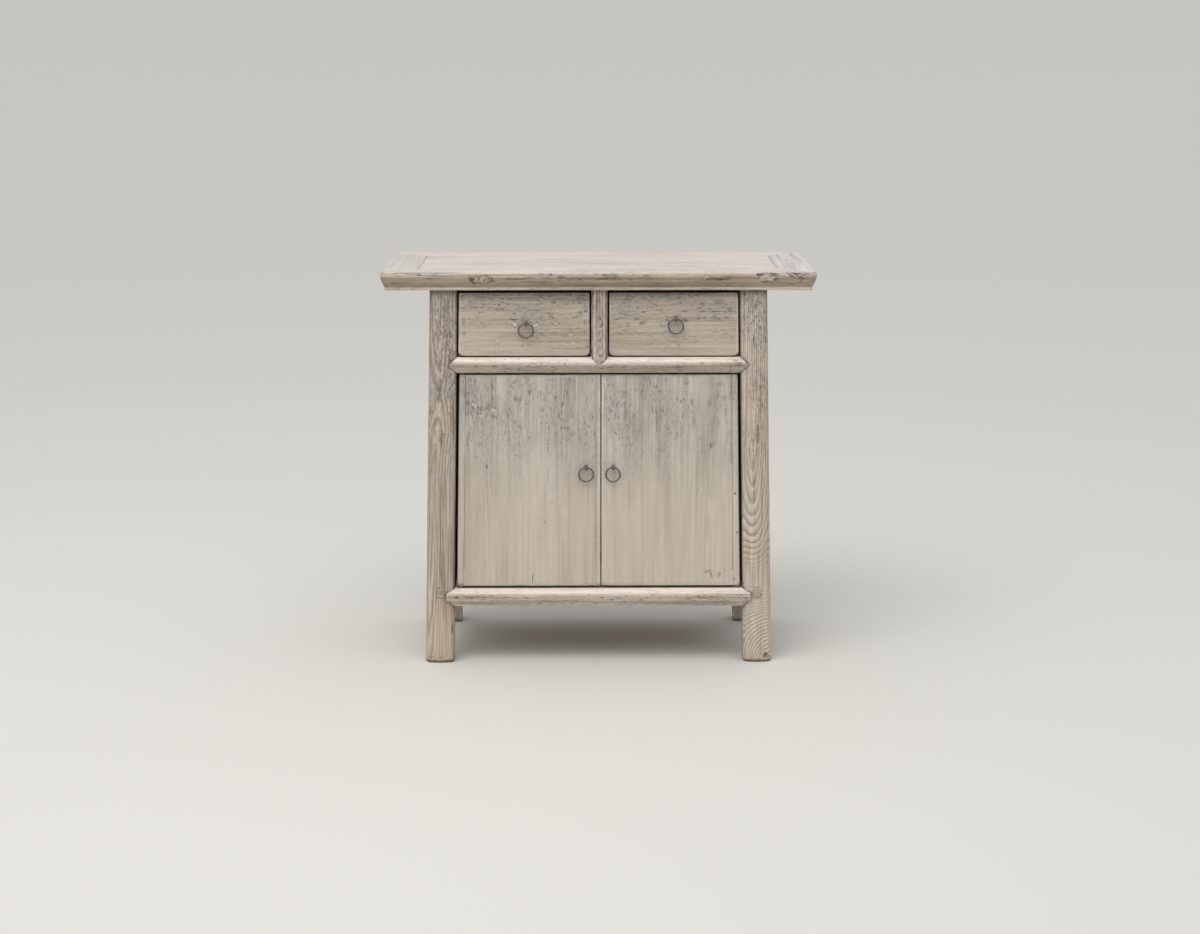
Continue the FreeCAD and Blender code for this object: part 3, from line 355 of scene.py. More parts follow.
# %% Wrought iron
def wrought_iron(name):
    """Hammered iron, dark with age, with a little rust."""
    material, tree = new_material(name)
    point = add_node(tree, "TexCoord", {}).outputs["Object"]
    scale_mm = 2.2
    scale = add_node(
        tree, "TexNoise", {"Vector": point, "Scale": 1 / (scale_mm * mm), "Detail": 4.0},
    ).outputs[0]
    rust = add_node(
        tree, "MapRange",
        {"Value": scale, "From Min": 0.48, "From Max": 0.66},
        interpolation_type="SMOOTHSTEP",
    ).outputs[0]
    colour = add_node(
        tree, "Mix", {0: rust, 6: linear("#6F6E71"), 7: linear("#70635A")}, data_type="RGBA",
    ).outputs[2]
    rough = add_node(tree, "MapRange", {"Value": rust, "To Min": 0.5, "To Max": 0.8}).outputs[0]
    metal = add_node(tree, "MapRange", {"Value": rust, "To Min": 0.75, "To Max": 0.15}).outputs[0]
    bump = add_node(tree, "Bump", {"Strength": 0.5, "Distance": 0.3 * mm, "Height": scale})
    surface = add_node(
        tree, "BsdfPrincipled",
        {"Base Color": colour, "Metallic": metal, "Roughness": rough, "Normal": bump.outputs[0]},
    )
    add_node(tree, "OutputMaterial", {"Surface": surface.outputs[0]})
    return material


iron = wrought_iron("wrought_iron_blackened")

# %% [markdown]
# ## The boards of this cabinet
# One shader gives all the boards, each with its own grain direction, ring spacing and heart line. A station
# of a heart line is a place along the grain and the two places across it, in millimetres. The doors are
# quarter-sawn and nearly plain. The legs are cut close to the heart: on the right one the heart dives away
# below the door's middle, which draws deep arches, and comes back in the foot, which draws them upside down.

# %% Elm finishes
door_tones = ("#D0C6B9", "#C2B8AA", "#ACA193", "#A3A09C")
drawer_tones = ("#CDBFAD", "#BFB09E", "#A69785", "#999590")
leg_left_tones = ("#D6CABB", "#BFB09F", "#8E7763", "#A4A29E")
leg_right_tones = ("#DCD0C1", "#C7B7A5", "#96806B", "#A8A6A1")
rail_tones = ("#DED0C1", "#CFBFAE", "#A59080", "#A9A5A0")
ledge_tones = ("#F4E6DA", "#EBDACB", "#D0BCAC", "#CFC7BE")
top_tones = ("#D2CBC4", "#C7BEB5", "#AFA398", "#BAB6B2")
edge_tones = ("#D6C4B0", "#BFAB95", "#8D7864", "#918D8A")
top_end_left_tones = ("#C8C1BB", "#BBB4AC", "#A39A91", "#AFACA9")
top_end_right_tones = ("#D5D0CD", "#C7C2BE", "#AEA7A2", "#BBB9B8")
side_tones = ("#CBBDAB", "#BAAB98", "#9A8873", "#A09C94")
inner_tones = ("#CDBFA8", "#BFAF96", "#A08C72", "#A8A193")
top_end_path = [(-210, 430, 870), (210, 440, 850)]
inner_look = {"ring_mm": 5.0, "ring_show": 0.3, "fleck": 0.2, "smoke": 0.1, "grey": 0.12, "relief_mm": 0.15}

finish = {
    "door": weathered_elm(
        "elm_door_scrubbed", "Z", door_tones, door_tones, [(0, 60, 210)], ring_mm=5.5, ring_show=0.16,
        lime=0.2, warm=0.38, warm_tone="#D5C4B0", warm_from_mm=600, warm_to_mm=330, dusty=0.05, fleck=0.7,
        fleck_from_mm=360, fleck_to_mm=640, smoke=0.52, grey=0.25, relief_mm=0.2,
    ),
    "drawer": weathered_elm(
        "elm_drawer_scrubbed", "X", drawer_tones, drawer_tones, [(0, 30, 690)], ring_mm=5.0, ring_show=0.2,
        lime=0.35, dusty=0.08, fleck=0.9, fleck_from_mm=720, fleck_to_mm=850, smoke=0.42, grey=0.3,
        relief_mm=0.2,
    ),
    "leg_left": weathered_elm(
        "elm_leg_left_ridged", "Z", leg_left_tones, ledge_tones,
        [(0, -402, -170), (120, -398, -178), (250, -394, -184), (450, -388, -184), (560, -376, -178),
         (655, -372, -167), (760, -371, -178), (900, -370, -188)],
        ring_mm=6.0, ring_show=0.95, lime=0.7, shake_mm=12, streak_mm=5, wander=0.7, warm=0.35, dusty=0.1,
        fleck=0.9, fleck_from_mm=350, fleck_to_mm=780, smoke=0.4, grey=0.6, relief_mm=0.5,
    ),
    "leg_right": weathered_elm(
        "elm_leg_right_ridged", "Z", leg_right_tones, ledge_tones,
        [(0, 400, -180), (60, 394, -152), (119, 388, -120), (150, 382, -98), (172, 374, -90),
         (190, 368, -96), (225, 366, -120), (255, 364, -134), (302, 363, -150), (379, 362, -165),
         (477, 361, -178), (566, 361, -186), (900, 356, -190)],
        ring_mm=4.8, ring_show=0.75, lime=0.85, shake_mm=7, streak_mm=5, wander=0.4, calm_at_mm=195,
        dusty=0.06, fleck=0.85, fleck_from_mm=300, fleck_to_mm=800, smoke=0.35, grey=0.45, relief_mm=0.5,
    ),
    "leg_back": weathered_elm(
        "elm_back_leg_ridged", "Z", leg_left_tones, ledge_tones,
        [(0, 380, 150), (450, 350, 170), (900, 330, 140)],
        ring_mm=4.2, ring_show=0.65, fleck=0.5, relief_mm=0.5,
    ),
    "rail": weathered_elm(
        "elm_rail_ridged", "X", rail_tones, ledge_tones, [(-400, -90, 610), (400, -100, 625)],
        ring_mm=4.2, ring_show=0.5, dusty=0.05, fleck=0.8, grey=0.35, relief_mm=0.35,
    ),
    "stile": weathered_elm(
        "elm_stile_ridged", "Z", leg_left_tones, ledge_tones,
        [(700, 3, -160), (780, 2, -176), (900, 1, -165)],
        ring_mm=3.6, ring_show=0.6, dusty=0.1, fleck=0.95, grey=0.6, relief_mm=0.4,
    ),
    "top": weathered_elm(
        "elm_top_scrubbed", "X", edge_tones, top_tones,
        [(-420, 40, 870), (-100, 10, 830), (200, -30, 845), (420, -60, 800)],
        ring_mm=4.6, ring_show=0.35, fleck=0.3, smoke=0.2, grey=0.3, relief_mm=0.35,
    ),
    "top_front": weathered_elm(
        "elm_top_front_worn", "X", edge_tones, top_tones,
        [(-500, -120, 760), (-200, -105, 768), (0, -125, 755), (250, -108, 770), (500, -120, 757)],
        ring_mm=4.2, ring_show=0.55, lime=0.3, shake_mm=18, rubbed=0.55, dusty=0.03, fleck=0.8, smoke=0.35,
        grey=0.35, relief_mm=0.4,
    ),
    "top_end_left": weathered_elm(
        "elm_top_left_end_scrubbed", "Y", edge_tones, top_end_left_tones, top_end_path,
        ring_mm=4.2, ring_show=0.4, fleck=0.35, grey=0.45, relief_mm=0.35,
    ),
    "top_end_right": weathered_elm(
        "elm_top_right_end_scrubbed", "Y", edge_tones, top_end_right_tones, top_end_path,
        ring_mm=4.2, ring_show=0.35, fleck=0.35, grey=0.35, relief_mm=0.35,
    ),
    "side_rail": weathered_elm(
        "elm_side_rail_ridged", "Y", side_tones, ledge_tones, [(-200, 300, 600), (200, 310, 590)],
        ring_mm=4.0, ring_show=0.5, fleck=0.5, grey=0.4, relief_mm=0.35,
    ),
    "panel_side": weathered_elm(
        "elm_side_panel_scrubbed", "Z", side_tones, side_tones,
        [(150, 0, -160), (520, 0, -190), (900, 0, -150)],
        ring_mm=5.0, ring_show=0.4, shake_mm=24, fleck=0.6, smoke=0.4, grey=0.4, relief_mm=0.3,
    ),
    "panel_back": weathered_elm(
        "elm_back_panel_sawn", "X", side_tones, side_tones, [(-350, 120, 450), (350, 90, 500)],
        ring_mm=6.0, ring_show=0.4, shake_mm=40, fleck=0.5, smoke=0.4, grey=0.45, relief_mm=0.3,
    ),
    "inner_x": weathered_elm(
        "elm_inner_planed_crosswise", "X", inner_tones, inner_tones, [(0, 300, 300)],
        **inner_look,
    ),
    "inner_y": weathered_elm(
        "elm_inner_planed_lengthwise", "Y", inner_tones, inner_tones, [(0, 100, 500)],
        **inner_look,
    ),
}
print(len(finish), "elm finishes")

# %% [markdown]
# ## Wearing a board
# A planed solid has knife-sharp arrises and flat faces, and old furniture has neither. The steps are those
# of a restorer who fakes age, in the same order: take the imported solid, break its long arrises with a small
# bevel, cut the faces into a fine grid with bisecting planes so that they can bend, then press in the
# unevenness of hand planing, rub the arrises down further here and there, and add dents, knots and cracks
# one by one. Arrises that lie in a tight joint stay sharp, because no hand ever reached them.

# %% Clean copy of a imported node
weld = 1e-6
flat_angle = math.radians(0.6)


def merged_copy(node):
    """The node's solid as one welded mesh with whole faces."""
    shape = bmesh.new()
    shape.from_mesh(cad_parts[node].data)
    bmesh.ops.remove_doubles(shape, verts=shape.verts[:], dist=weld)
    bmesh.ops.dissolve_limit(
        shape, angle_limit=flat_angle, use_dissolve_boundaries=False,
        verts=shape.verts[:], edges=shape.edges[:], delimit=set(),
    )
    return shape


# %% Tight joints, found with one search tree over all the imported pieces
joint_reach_mm = 1.0
joint_points = []
joint_faces = []
face_owners = []
for packed_name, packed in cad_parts.items():
    offset = len(joint_points)
    joint_points += [vert.co.copy() for vert in packed.data.vertices]
    for polygon in packed.data.polygons:
        joint_faces.append([offset + index for index in polygon.vertices])
        face_owners.append(packed_name)
joint_tree = bvhtree.BVHTree.FromPolygons(joint_points, joint_faces)
iron_words = ("_ring", "_staple")
wood_faces = [face for face, owner in zip(joint_faces, face_owners) if not owner.endswith(iron_words)]
wood_tree = bvhtree.BVHTree.FromPolygons(joint_points, wood_faces)
print(len(joint_faces), "faces in the joint search")


def at_joint(node, point):
    """Whether another piece lies within a hair of a point of this one."""
    near = joint_tree.find_nearest_range(point, joint_reach_mm * mm)
    return any(face_owners[index] != node for place, normal, index, distance in near)


# %% Long arrises, and the points along them
def long_arrises(shape, node, shortest_mm=30, sharpest=math.radians(26)):
    """Convex edges that are long and sharp enough to be broken, and stand free."""
    found = []
    for edge in shape.edges:
        if not edge.is_manifold or not edge.is_convex or edge.calc_length() < shortest_mm * mm:
            continue
        if edge.calc_face_angle() < sharpest:
            continue
        start, end = edge.verts[0].co, edge.verts[1].co
        tight = [at_joint(node, start.lerp(end, share)) for share in (0.2, 0.5, 0.8)]
        if sum(tight) < 2:
            found.append(edge)
    return found


def sample_lines(edges, step_mm=3):
    """Points along edges in a search tree."""
    places = []
    for edge in edges:
        start, end = edge.verts[0].co, edge.verts[1].co
        steps = max(1, int((end - start).length / (step_mm * mm)))
        places += [start.lerp(end, index / steps) for index in range(steps + 1)]
    tree = kdtree.KDTree(len(places))
    for index, place in enumerate(places):
        tree.insert(place, index)
    tree.balance()
    return tree


# %% A grid of cuts
def cut_across(shape, faces, axis, places):
    """Bisect faces by planes across an axis, the middle plane first, so that each face is cut few times."""
    if not places or not faces:
        return
    middle = len(places) // 2
    plane = Vector((0, 0, 0))
    plane[axis] = places[middle]
    normal = Vector((0, 0, 0))
    normal[axis] = 1
    touched = set(faces)
    for face in faces:
        touched.update(face.edges)
        touched.update(face.verts)
    result = bmesh.ops.bisect_plane(
        shape, geom=list(touched), dist=weld, plane_co=plane, plane_no=normal,
    )
    below = []
    above = []
    for item in result["geom"]:
        if isinstance(item, bmesh.types.BMFace):
            side = below if item.calc_center_median()[axis] < places[middle] else above
            side.append(item)
    cut_across(shape, below, axis, places[:middle])
    cut_across(shape, above, axis, places[middle + 1:])


def cut_grid(shape, cells_mm):
    """Cut a shape into cells of about these sizes along X, Y and Z."""
    for axis, cell in enumerate(cells_mm):
        values = [vert.co[axis] for vert in shape.verts]
        low, high = min(values), max(values)
        count = int((high - low) / (cell * mm))
        places = [low + (high - low) * (index + 1) / (count + 1) for index in range(count)]
        cut_across(shape, shape.faces[:], axis, places)


# %% Marks: knots, dents, cracks and nail holes
def mark_reach(mark, point):
    """How deep inside a mark's ragged oval a point of the front is: 1 at its centre, 0 at its rim."""
    x, z, half_x, half_z, turn = mark[:5]
    across = point.x / mm - x
    up = point.z / mm - z
    turned = math.radians(turn)
    a = across * math.cos(turned) + up * math.sin(turned)
    b = up * math.cos(turned) - across * math.sin(turned)
    thin = min(half_x, half_z) < 3
    wander = 0.6 * noise.noise(point / (9 * mm))
    if thin and half_x < half_z:
        a += wander
    elif thin:
        b += wander
    ragged = 0 if thin else 0.4 * noise.noise(point / (4.5 * mm)) + 0.25 * noise.noise(point / (1.8 * mm))
    return 1 - math.hypot(a / half_x, b / half_z) - ragged


def refine_marks(shape, marks):
    """Cut the faces under each mark finely enough to hold its shape."""
    for mark in marks:
        finest = max(0.8, min(mark[2], mark[3]) / 3) * mm
        wide = max(mark[2], mark[3]) * mm
        for step in range(3):
            edges = set()
            for face in shape.faces:
                if face.normal.y > -0.2:
                    continue
                centre = face.calc_center_median()
                if max(abs(centre.x - mark[0] * mm), abs(centre.z - mark[1] * mm)) > wide * 1.3 + 5 * mm:
                    continue
                near = max(mark_reach(mark, vert.co) for vert in face.verts)
                if near < -0.6 and mark_reach(mark, centre) < -0.6:
                    continue
                edges.update(edge for edge in face.edges if edge.calc_length() > finest * 1.6)
            if not edges:
                break
            bmesh.ops.subdivide_edges(shape, edges=list(edges), cuts=1, use_grid_fill=True)


# %% Press the wear into the shape
def soft_step(value, low, high):
    """0 below low, 1 above high."""
    share = min(1.0, max(0.0, (value - low) / (high - low)))
    return share * share * (3 - 2 * share)


wear_names = ("ledge", "under", "corner", "end", "arris", "hollow", "scar")
feeler_mm = 40
feeler_start_mm = 1.2
feeler_count = 6
feeler_lean = math.radians(58)


def hemmed_in(point, normal):
    """How closely other surfaces stand round a point: 0 in the open, 1 deep in a gap."""
    sideways = normal.orthogonal().normalized()
    forward = normal * math.cos(feeler_lean)
    start = point + normal * (feeler_start_mm * mm)
    total = 0
    for index in range(feeler_count):
        turn = Quaternion(normal, 2 * math.pi * index / feeler_count)
        feeler = forward + turn @ sideways * math.sin(feeler_lean)
        distance = wood_tree.ray_cast(start, feeler, feeler_mm * mm)[3]
        if distance is not None:
            total += 1 - distance / (feeler_mm * mm)
    return total / feeler_count


wave_length_mm = 55
rub_mm = 1.0
rub_width_mm = 2.4
rub_reach_mm = 9
rub_length_mm = 38
nick_length_mm = 11
foot_round_mm = 5
foot_wear_mm = 2.4
grit_mm = 2.2


def press_wear(node, shape, arrises, grain, marks, wave_mm):
    """Move every vertex inwards by hand-planed waves, rubbed arrises and marks, and note why."""
    notes = {name: shape.verts.layers.float.new(name) for name in wear_names}
    shape.normal_update()
    along = "XYZ".index(grain)
    low = [min(vert.co[axis] for vert in shape.verts) for axis in range(3)]
    high = [max(vert.co[axis] for vert in shape.verts) for axis in range(3)]
    moves = []
    for vert in shape.verts:
        point = vert.co
        vert[notes["ledge"]] = soft_step(vert.normal.z, 0.02, 0.66)
        # under marks faces that look down; the material paints shade on them
        vert[notes["under"]] = soft_step(-vert.normal.z, 0.12, 0.6)
        vert[notes["end"]] = soft_step(abs(vert.normal[along]), 0.6, 0.9)
        drawn = point.copy()
        drawn[along] *= 0.35
        depth = wave_mm * (0.5 + 0.5 * noise.noise(drawn / (wave_length_mm * mm)))
        place, index, distance = arrises.find(point)
        if distance is not None and distance < rub_reach_mm * mm:
            near = math.exp(-(distance / (rub_width_mm * mm)) ** 2)
            rubbed = 0.5 + 0.5 * noise.noise(place / (rub_length_mm * mm))
            nick = max(0.0, noise.noise(place / (nick_length_mm * mm) + Vector((7, 3, 1))) - 0.3) * 3
            depth += near * rub_mm * (rubbed ** 2 + nick * 0.7)
            vert[notes["arris"]] = min(1.0, near * (0.3 + rubbed))
        # corner is painted shade mixed with dirt where other surfaces stand close round a point; it is weaker
        # on ledges, rubbed arrises, tight joints and deep in gaps
        corner_shade_share = (1 - 0.85 * vert[notes["ledge"]]) * (1 - 0.6 * vert[notes["arris"]])
        if at_joint(node, point):
            corner_shade_share *= 0.55
        hemmed = hemmed_in(point, vert.normal)
        corner_shade_share *= 1 - 0.65 * soft_step(hemmed, 0.7, 0.9)
        vert[notes["corner"]] = soft_step(hemmed, 0.06, 0.5) * corner_shade_share
        foot = 1 - soft_step(point.z, 0, foot_round_mm * mm)
        depth += foot * foot_wear_mm
        for mark in marks:
            wide = max(mark[2], mark[3]) * 1.5
            off_x, off_z = abs(point.x / mm - mark[0]), abs(point.z / mm - mark[1])
            if off_x > wide or off_z > wide or vert.normal.y > -0.15:
                continue
            reach = mark_reach(mark, point)
            if reach <= -0.3:
                continue
            deep, dark, pale = mark[5:]
            bowl = soft_step(reach, -0.05, 0.5)
            grit = 0.5 + 0.5 * noise.noise(point / (grit_mm * mm))
            depth += deep * bowl * (0.6 + 0.8 * grit)
            if pale > 0:
                rim = soft_step(reach, -0.3, -0.05) - soft_step(reach, 0.05, 0.35)
                vert[notes["scar"]] = max(vert[notes["scar"]], pale * bowl * soft_step(grit, 0.25, 0.6))
                vert[notes["hollow"]] = max(vert[notes["hollow"]], dark * rim * soft_step(grit, 0.3, 0.7))
            else:
                vert[notes["hollow"]] = max(vert[notes["hollow"]], dark * bowl * soft_step(grit, 0.1, 0.75))
        moves.append(vert.normal * (-depth * mm))
    for vert, move in zip(shape.verts, moves):
        moved = vert.co + move
        vert.co = [min(max(moved[axis], low[axis]), high[axis]) for axis in range(3)]


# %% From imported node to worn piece
smooth_angle = math.radians(32)


def object_from(shape, name, material, hard_edges=True):
    """Smooth-shaded object of a finished shape, which may keep its hard edges."""
    mesh = bpy.data.meshes.new(name)
    shape.to_mesh(mesh)
    shape.free()
    mesh.polygons.foreach_set("use_smooth", [True] * len(mesh.polygons))
    if hard_edges:
        mesh.set_sharp_from_angle(angle=smooth_angle)
    mesh.materials.append(material)
    piece = bpy.data.objects.new(name, mesh)
    bpy.context.scene.collection.objects.link(piece)
    return piece


def worn_piece(node, body, finish_name, grain, arris_mm, cells_mm, marks, wave_mm=0.5):
    """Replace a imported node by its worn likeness."""
    shape = merged_copy(node)
    arrises = long_arrises(shape, node)
    lines = sample_lines(arrises)
    if arrises:
        bmesh.ops.bevel(
            shape, geom=arrises, offset=arris_mm * mm, offset_type="OFFSET", segments=2, profile=0.5,
            affect="EDGES", clamp_overlap=True, loop_slide=True, material=-1,
        )
    cut_grid(shape, cells_mm)
    refine_marks(shape, marks)
    press_wear(node, shape, lines, grain, marks, wave_mm)
    piece = object_from(shape, node + "_worn", finish[finish_name])
    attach(piece, body)
    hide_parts(node)
    return piece


# %% [markdown]
# ## Marks of use on the front
# Each mark is an oval on the front: its place across and up, its half width and half height, its turn in
# degrees, its depth, and two shares that say how dark and how pale it is. All but the turn and the shares
# are in millimetres. A long thin oval is a crack, a small deep one a nail hole, a wide one a knot, and a very
# wide, faint one a stain or a rubbed place. A pale mark is a chip with a dark rim. The first two marks of
# each drawer front are a painted shadow of the top's overhang, and the first mark of the middle rail, a long
# pale band, is a painted highlight.

# %% Marks
door_left_marks = [
    (-303.9, 631.4, 8, 5, 0, 0.5, 0.6, 0), (-266.7, 607, 15, 11, 15, 0.7, 0.55, 0.25),
    (-246, 612.4, 6.5, 5.5, 0, 0.6, 0.8, 1), (-272, 598, 8, 6, 20, 0.6, 0.8, 0.9),
    (-289.9, 622.9, 10, 6, -25, 0.6, 0.9, 0.8), (-279, 614, 12, 4, -20, 0.4, 0.6, 0),
    (-300, 606, 14, 7, 10, 0.3, 0.4, 0), (-256, 622, 12, 6, 30, 0.3, 0.45, 0),
    (-40.4, 574.3, 3, 4.5, 0, 0.5, 0.3, 0.8), (-306.6, 533.2, 3, 22, 0, 0.3, 0.6, 0),
    (-303, 552, 2.5, 12, 0, 0.3, 0.5, 0), (-262.8, 476.9, 3, 7, 0, 0.5, 0.7, 0),
    (-156.4, 209.5, 0.9, 21, -1, 2.5, 1, 0), (-126.3, 342.1, 2, 5, 0, 0.4, 0.7, 0),
    (-196.8, 675.6, 4, 5, 0, 0.3, 0.6, 0), (-159.7, 656.7, 5, 8, 0, 0.3, 0.55, 0),
    (-183.2, 635.4, 5, 8, 0, 0.3, 0.45, 0), (-153, 640, 3, 4, 0, 0.3, 0.7, 0),
    (-140, 643, 3, 5, 0, 0.3, 0.6, 0), (-136, 652, 8, 6, 0, 0.3, 0.35, 0),
    (-92, 600, 3, 16, 0, 0.2, 0.35, 0), (-66, 560, 4, 20, 0, 0.2, 0.35, 0),
    (-118, 520, 3, 26, 0, 0.2, 0.4, 0), (-118, 455, 2.5, 30, 0, 0.2, 0.3, 0),
    (-126, 390, 3, 55, 0, 0.1, 0.3, 0), (-84, 310, 9, 4, 20, 0.2, 0.1, 0.4),
    (-15.5, 355, 3, 4, 0, 0.3, 0.2, 0.6), (-6.3, 335, 0.8, 88, 0, 0.8, 0.6, 0),
    (-280, 395, 2.5, 40, 0, 0.1, 0.3, 0), (-268, 240, 3, 14, 0, 0.1, 0.25, 0),
    (-132.5, 325, 13, 92, 0, 0, 0.13, 0), (-281, 330, 13, 110, 0, 0, 0.11, 0),
    (-104, 408, 3.5, 14, -25, 0.2, 0, 0.55), (-80, 368, 9, 15, 0, 0.2, 0, 0.45),
    (-51, 286, 6, 6, 0, 0.2, 0, 0.7),
]
door_right_marks = [
    (217.1, 630.8, 5, 10, 0, 0.3, 0.5, 0), (258.2, 627.8, 4.5, 12, 0, 0.3, 0.5, 0),
    (192, 632, 4, 4, 20, 0.3, 0.75, 0), (184, 552.9, 4, 10, 0, 0.3, 0.5, 0),
    (223.2, 581.7, 4, 16, 0, 0.3, 0.45, 0), (263.5, 526.7, 5, 10, 0, 0.3, 0.5, 0),
    (293.2, 639.1, 6, 8, 0, 0.3, 0.5, 0), (136.1, 585.7, 3.5, 34, 0, 0.2, 0.4, 0),
    (296.6, 608, 5, 20, 0, 0.2, 0.4, 0), (62, 600, 4, 26, 0, 0.2, 0.3, 0),
    (88, 660, 9, 7, 0, 0.2, 0.3, 0), (146, 656, 12, 3, 0, 0.2, 0.4, 0),
    (205, 674, 9, 6, 0, 0.2, 0.45, 0), (282, 672, 12, 8, 0, 0.2, 0.4, 0),
    (193, 560, 3.5, 30, 0, 0.2, 0.4, 0), (150, 610, 4, 8, 0, 0.2, 0.45, 0),
    (280, 580, 4, 14, 0, 0.2, 0.4, 0), (302, 560, 3, 30, 0, 0.2, 0.35, 0),
    (266.5, 216.4, 4, 12, 20, 0.3, 0.75, 0), (256, 221, 7, 6, 0, 0.3, 0.65, 0),
    (285.5, 213.9, 6, 9, 0, 0.3, 0.6, 0), (231, 281, 4, 7, 0, 0.3, 0, 0.75),
    (241, 420, 4, 10, 0, 0.2, 0.1, 0.5), (258, 385, 4, 14, 0, 0.2, 0.1, 0.5),
    (268, 372, 11, 24, 0, 0.2, 0, 0.5), (256, 330, 9, 40, 0, 0, 0.12, 0),
]
pivot_right_marks = [
    (321.7, 410.5, 3.4, 2.8, 0, 2.5, 1, 0), (323.8, 406.5, 3.6, 2.6, 0, 0.5, 0.2, 0.9),
    (328.3, 315.8, 3, 5, 25, 2, 1, 0), (325, 319, 3, 3, 0, 0.5, 0.3, 0.8),
    (313.6, 205, 0.9, 14, 0, 1.5, 0.9, 0), (321, 203, 4, 7, 0, 0.5, 0.5, 0),
]
drawer_left_marks = [
    # the first two marks are a painted shadow: the dark band that the top's overhang casts on the drawer
    # front's upper edge
    (-167, 888, 250, 9, 0, 0, 0.7, 0), (-167, 884, 220, 16, 0, 0, 0.22, 0),
    (-193.1, 813.3, 9, 5.5, -35, 1, 0.8, 0.75), (-144.9, 812.3, 8.5, 5, 25, 1, 0.8, 0.75),
    (-98, 814.9, 7.5, 5, 0, 0.6, 0.7, 0.5), (-63.9, 789, 8, 2.8, 0, 0.6, 0.4, 0.75),
    (-58.8, 770.1, 8, 3, 0, 0.6, 0.4, 0.8), (-270.4, 840.7, 13, 3.5, 5, 0.3, 0.6, 0),
    (-230, 850, 20, 3, 0, 0.3, 0.45, 0), (-110, 832.2, 8, 5, 0, 0.3, 0.55, 0),
    (-41.6, 840.8, 6, 6, 0, 0.3, 0.6, 0), (-32, 818, 4, 8, 0, 0.3, 0.55, 0),
    (-168.7, 763, 9, 3.5, 0, 0.3, 0.5, 0.2), (-237, 757.9, 4, 13, -15, 0.4, 0.5, 0.25),
    (-233, 776, 5, 7, 0, 0.3, 0.2, 0.4), (-106.3, 882.1, 18, 2.6, 0, 0.3, 0.6, 0),
    (-200, 874, 24, 3.2, 0, 0.3, 0.4, 0), (-312, 880, 9, 7, 0, 0.3, 0.5, 0),
    (-311, 820, 5, 12, 0, 0.3, 0.5, 0), (-311, 792, 4, 7, 0, 0.3, 0.55, 0),
    (-40, 876, 16, 12, 0, 0.3, 0.45, 0), (-30, 850, 5, 12, 0, 0.3, 0.5, 0),
    (-287, 853, 14, 3, 0, 0.3, 0.5, 0), (-26, 762, 5, 4, 0, 0.3, 0.6, 0),
]
drawer_right_marks = [
    # the first two marks are a painted shadow: the dark band that the top's overhang casts on the drawer
    # front's upper edge
    (167, 888, 250, 9, 0, 0, 0.7, 0), (167, 884, 220, 16, 0, 0, 0.22, 0),
    (103.3, 816.8, 12, 5, 20, 0.6, 0.85, 0), (109, 819.5, 7, 2.8, 20, 0.5, 0.2, 0.6),
    (152.6, 817.1, 10, 6, 20, 0.5, 0.8, 0.3), (201.2, 821.6, 12, 4, 0, 0.5, 0.75, 0),
    (174, 765, 10, 9, 0, 0.4, 0.4, 0.25), (231.3, 849.4, 8, 5, 0, 0.3, 0.55, 0),
    (304.7, 847.8, 6, 7, 0, 0.3, 0.6, 0), (67.3, 871.7, 13, 6, 0, 0.3, 0.6, 0),
    (277.3, 865.2, 18, 8, 0, 0.3, 0.5, 0), (180, 872, 12, 4, 0, 0.3, 0.5, 0),
    (60, 840, 16, 8, 0, 0.3, 0.35, 0), (232, 826, 6, 4, 0, 0.3, 0.5, 0),
    (272, 826, 14, 3, 0, 0.3, 0.5, 0), (306, 812, 4, 5, 0, 0.3, 0.6, 0.1),
    (272, 820.5, 46, 0.8, 1, 0.8, 0.7, 0), (69, 810, 4, 7, 0, 0.3, 0.45, 0),
    (200, 779, 9, 2.5, 10, 0.3, 0.55, 0), (268, 748, 8, 3, 0, 0.3, 0.5, 0),
]
stile_marks = [
    (2, 804.1, 4.5, 6, 0, 1.2, 0.7, 0.6), (3, 786, 4, 7, 0, 1, 0.7, 0.5),
    (1, 769.5, 4.5, 7, 0, 1.2, 0.7, 0.6), (4, 822, 5, 8, 15, 0.8, 0.6, 0.4),
    (-4, 840, 5, 9, -15, 0.5, 0.6, 0.2), (4, 748, 5, 6, 0, 0.6, 0.5, 0.5),
    (-1.3, 871.4, 9, 13, 0, 0.3, 0.5, 0), (-6, 855, 4, 7, 20, 0.4, 0.6, 0),
]
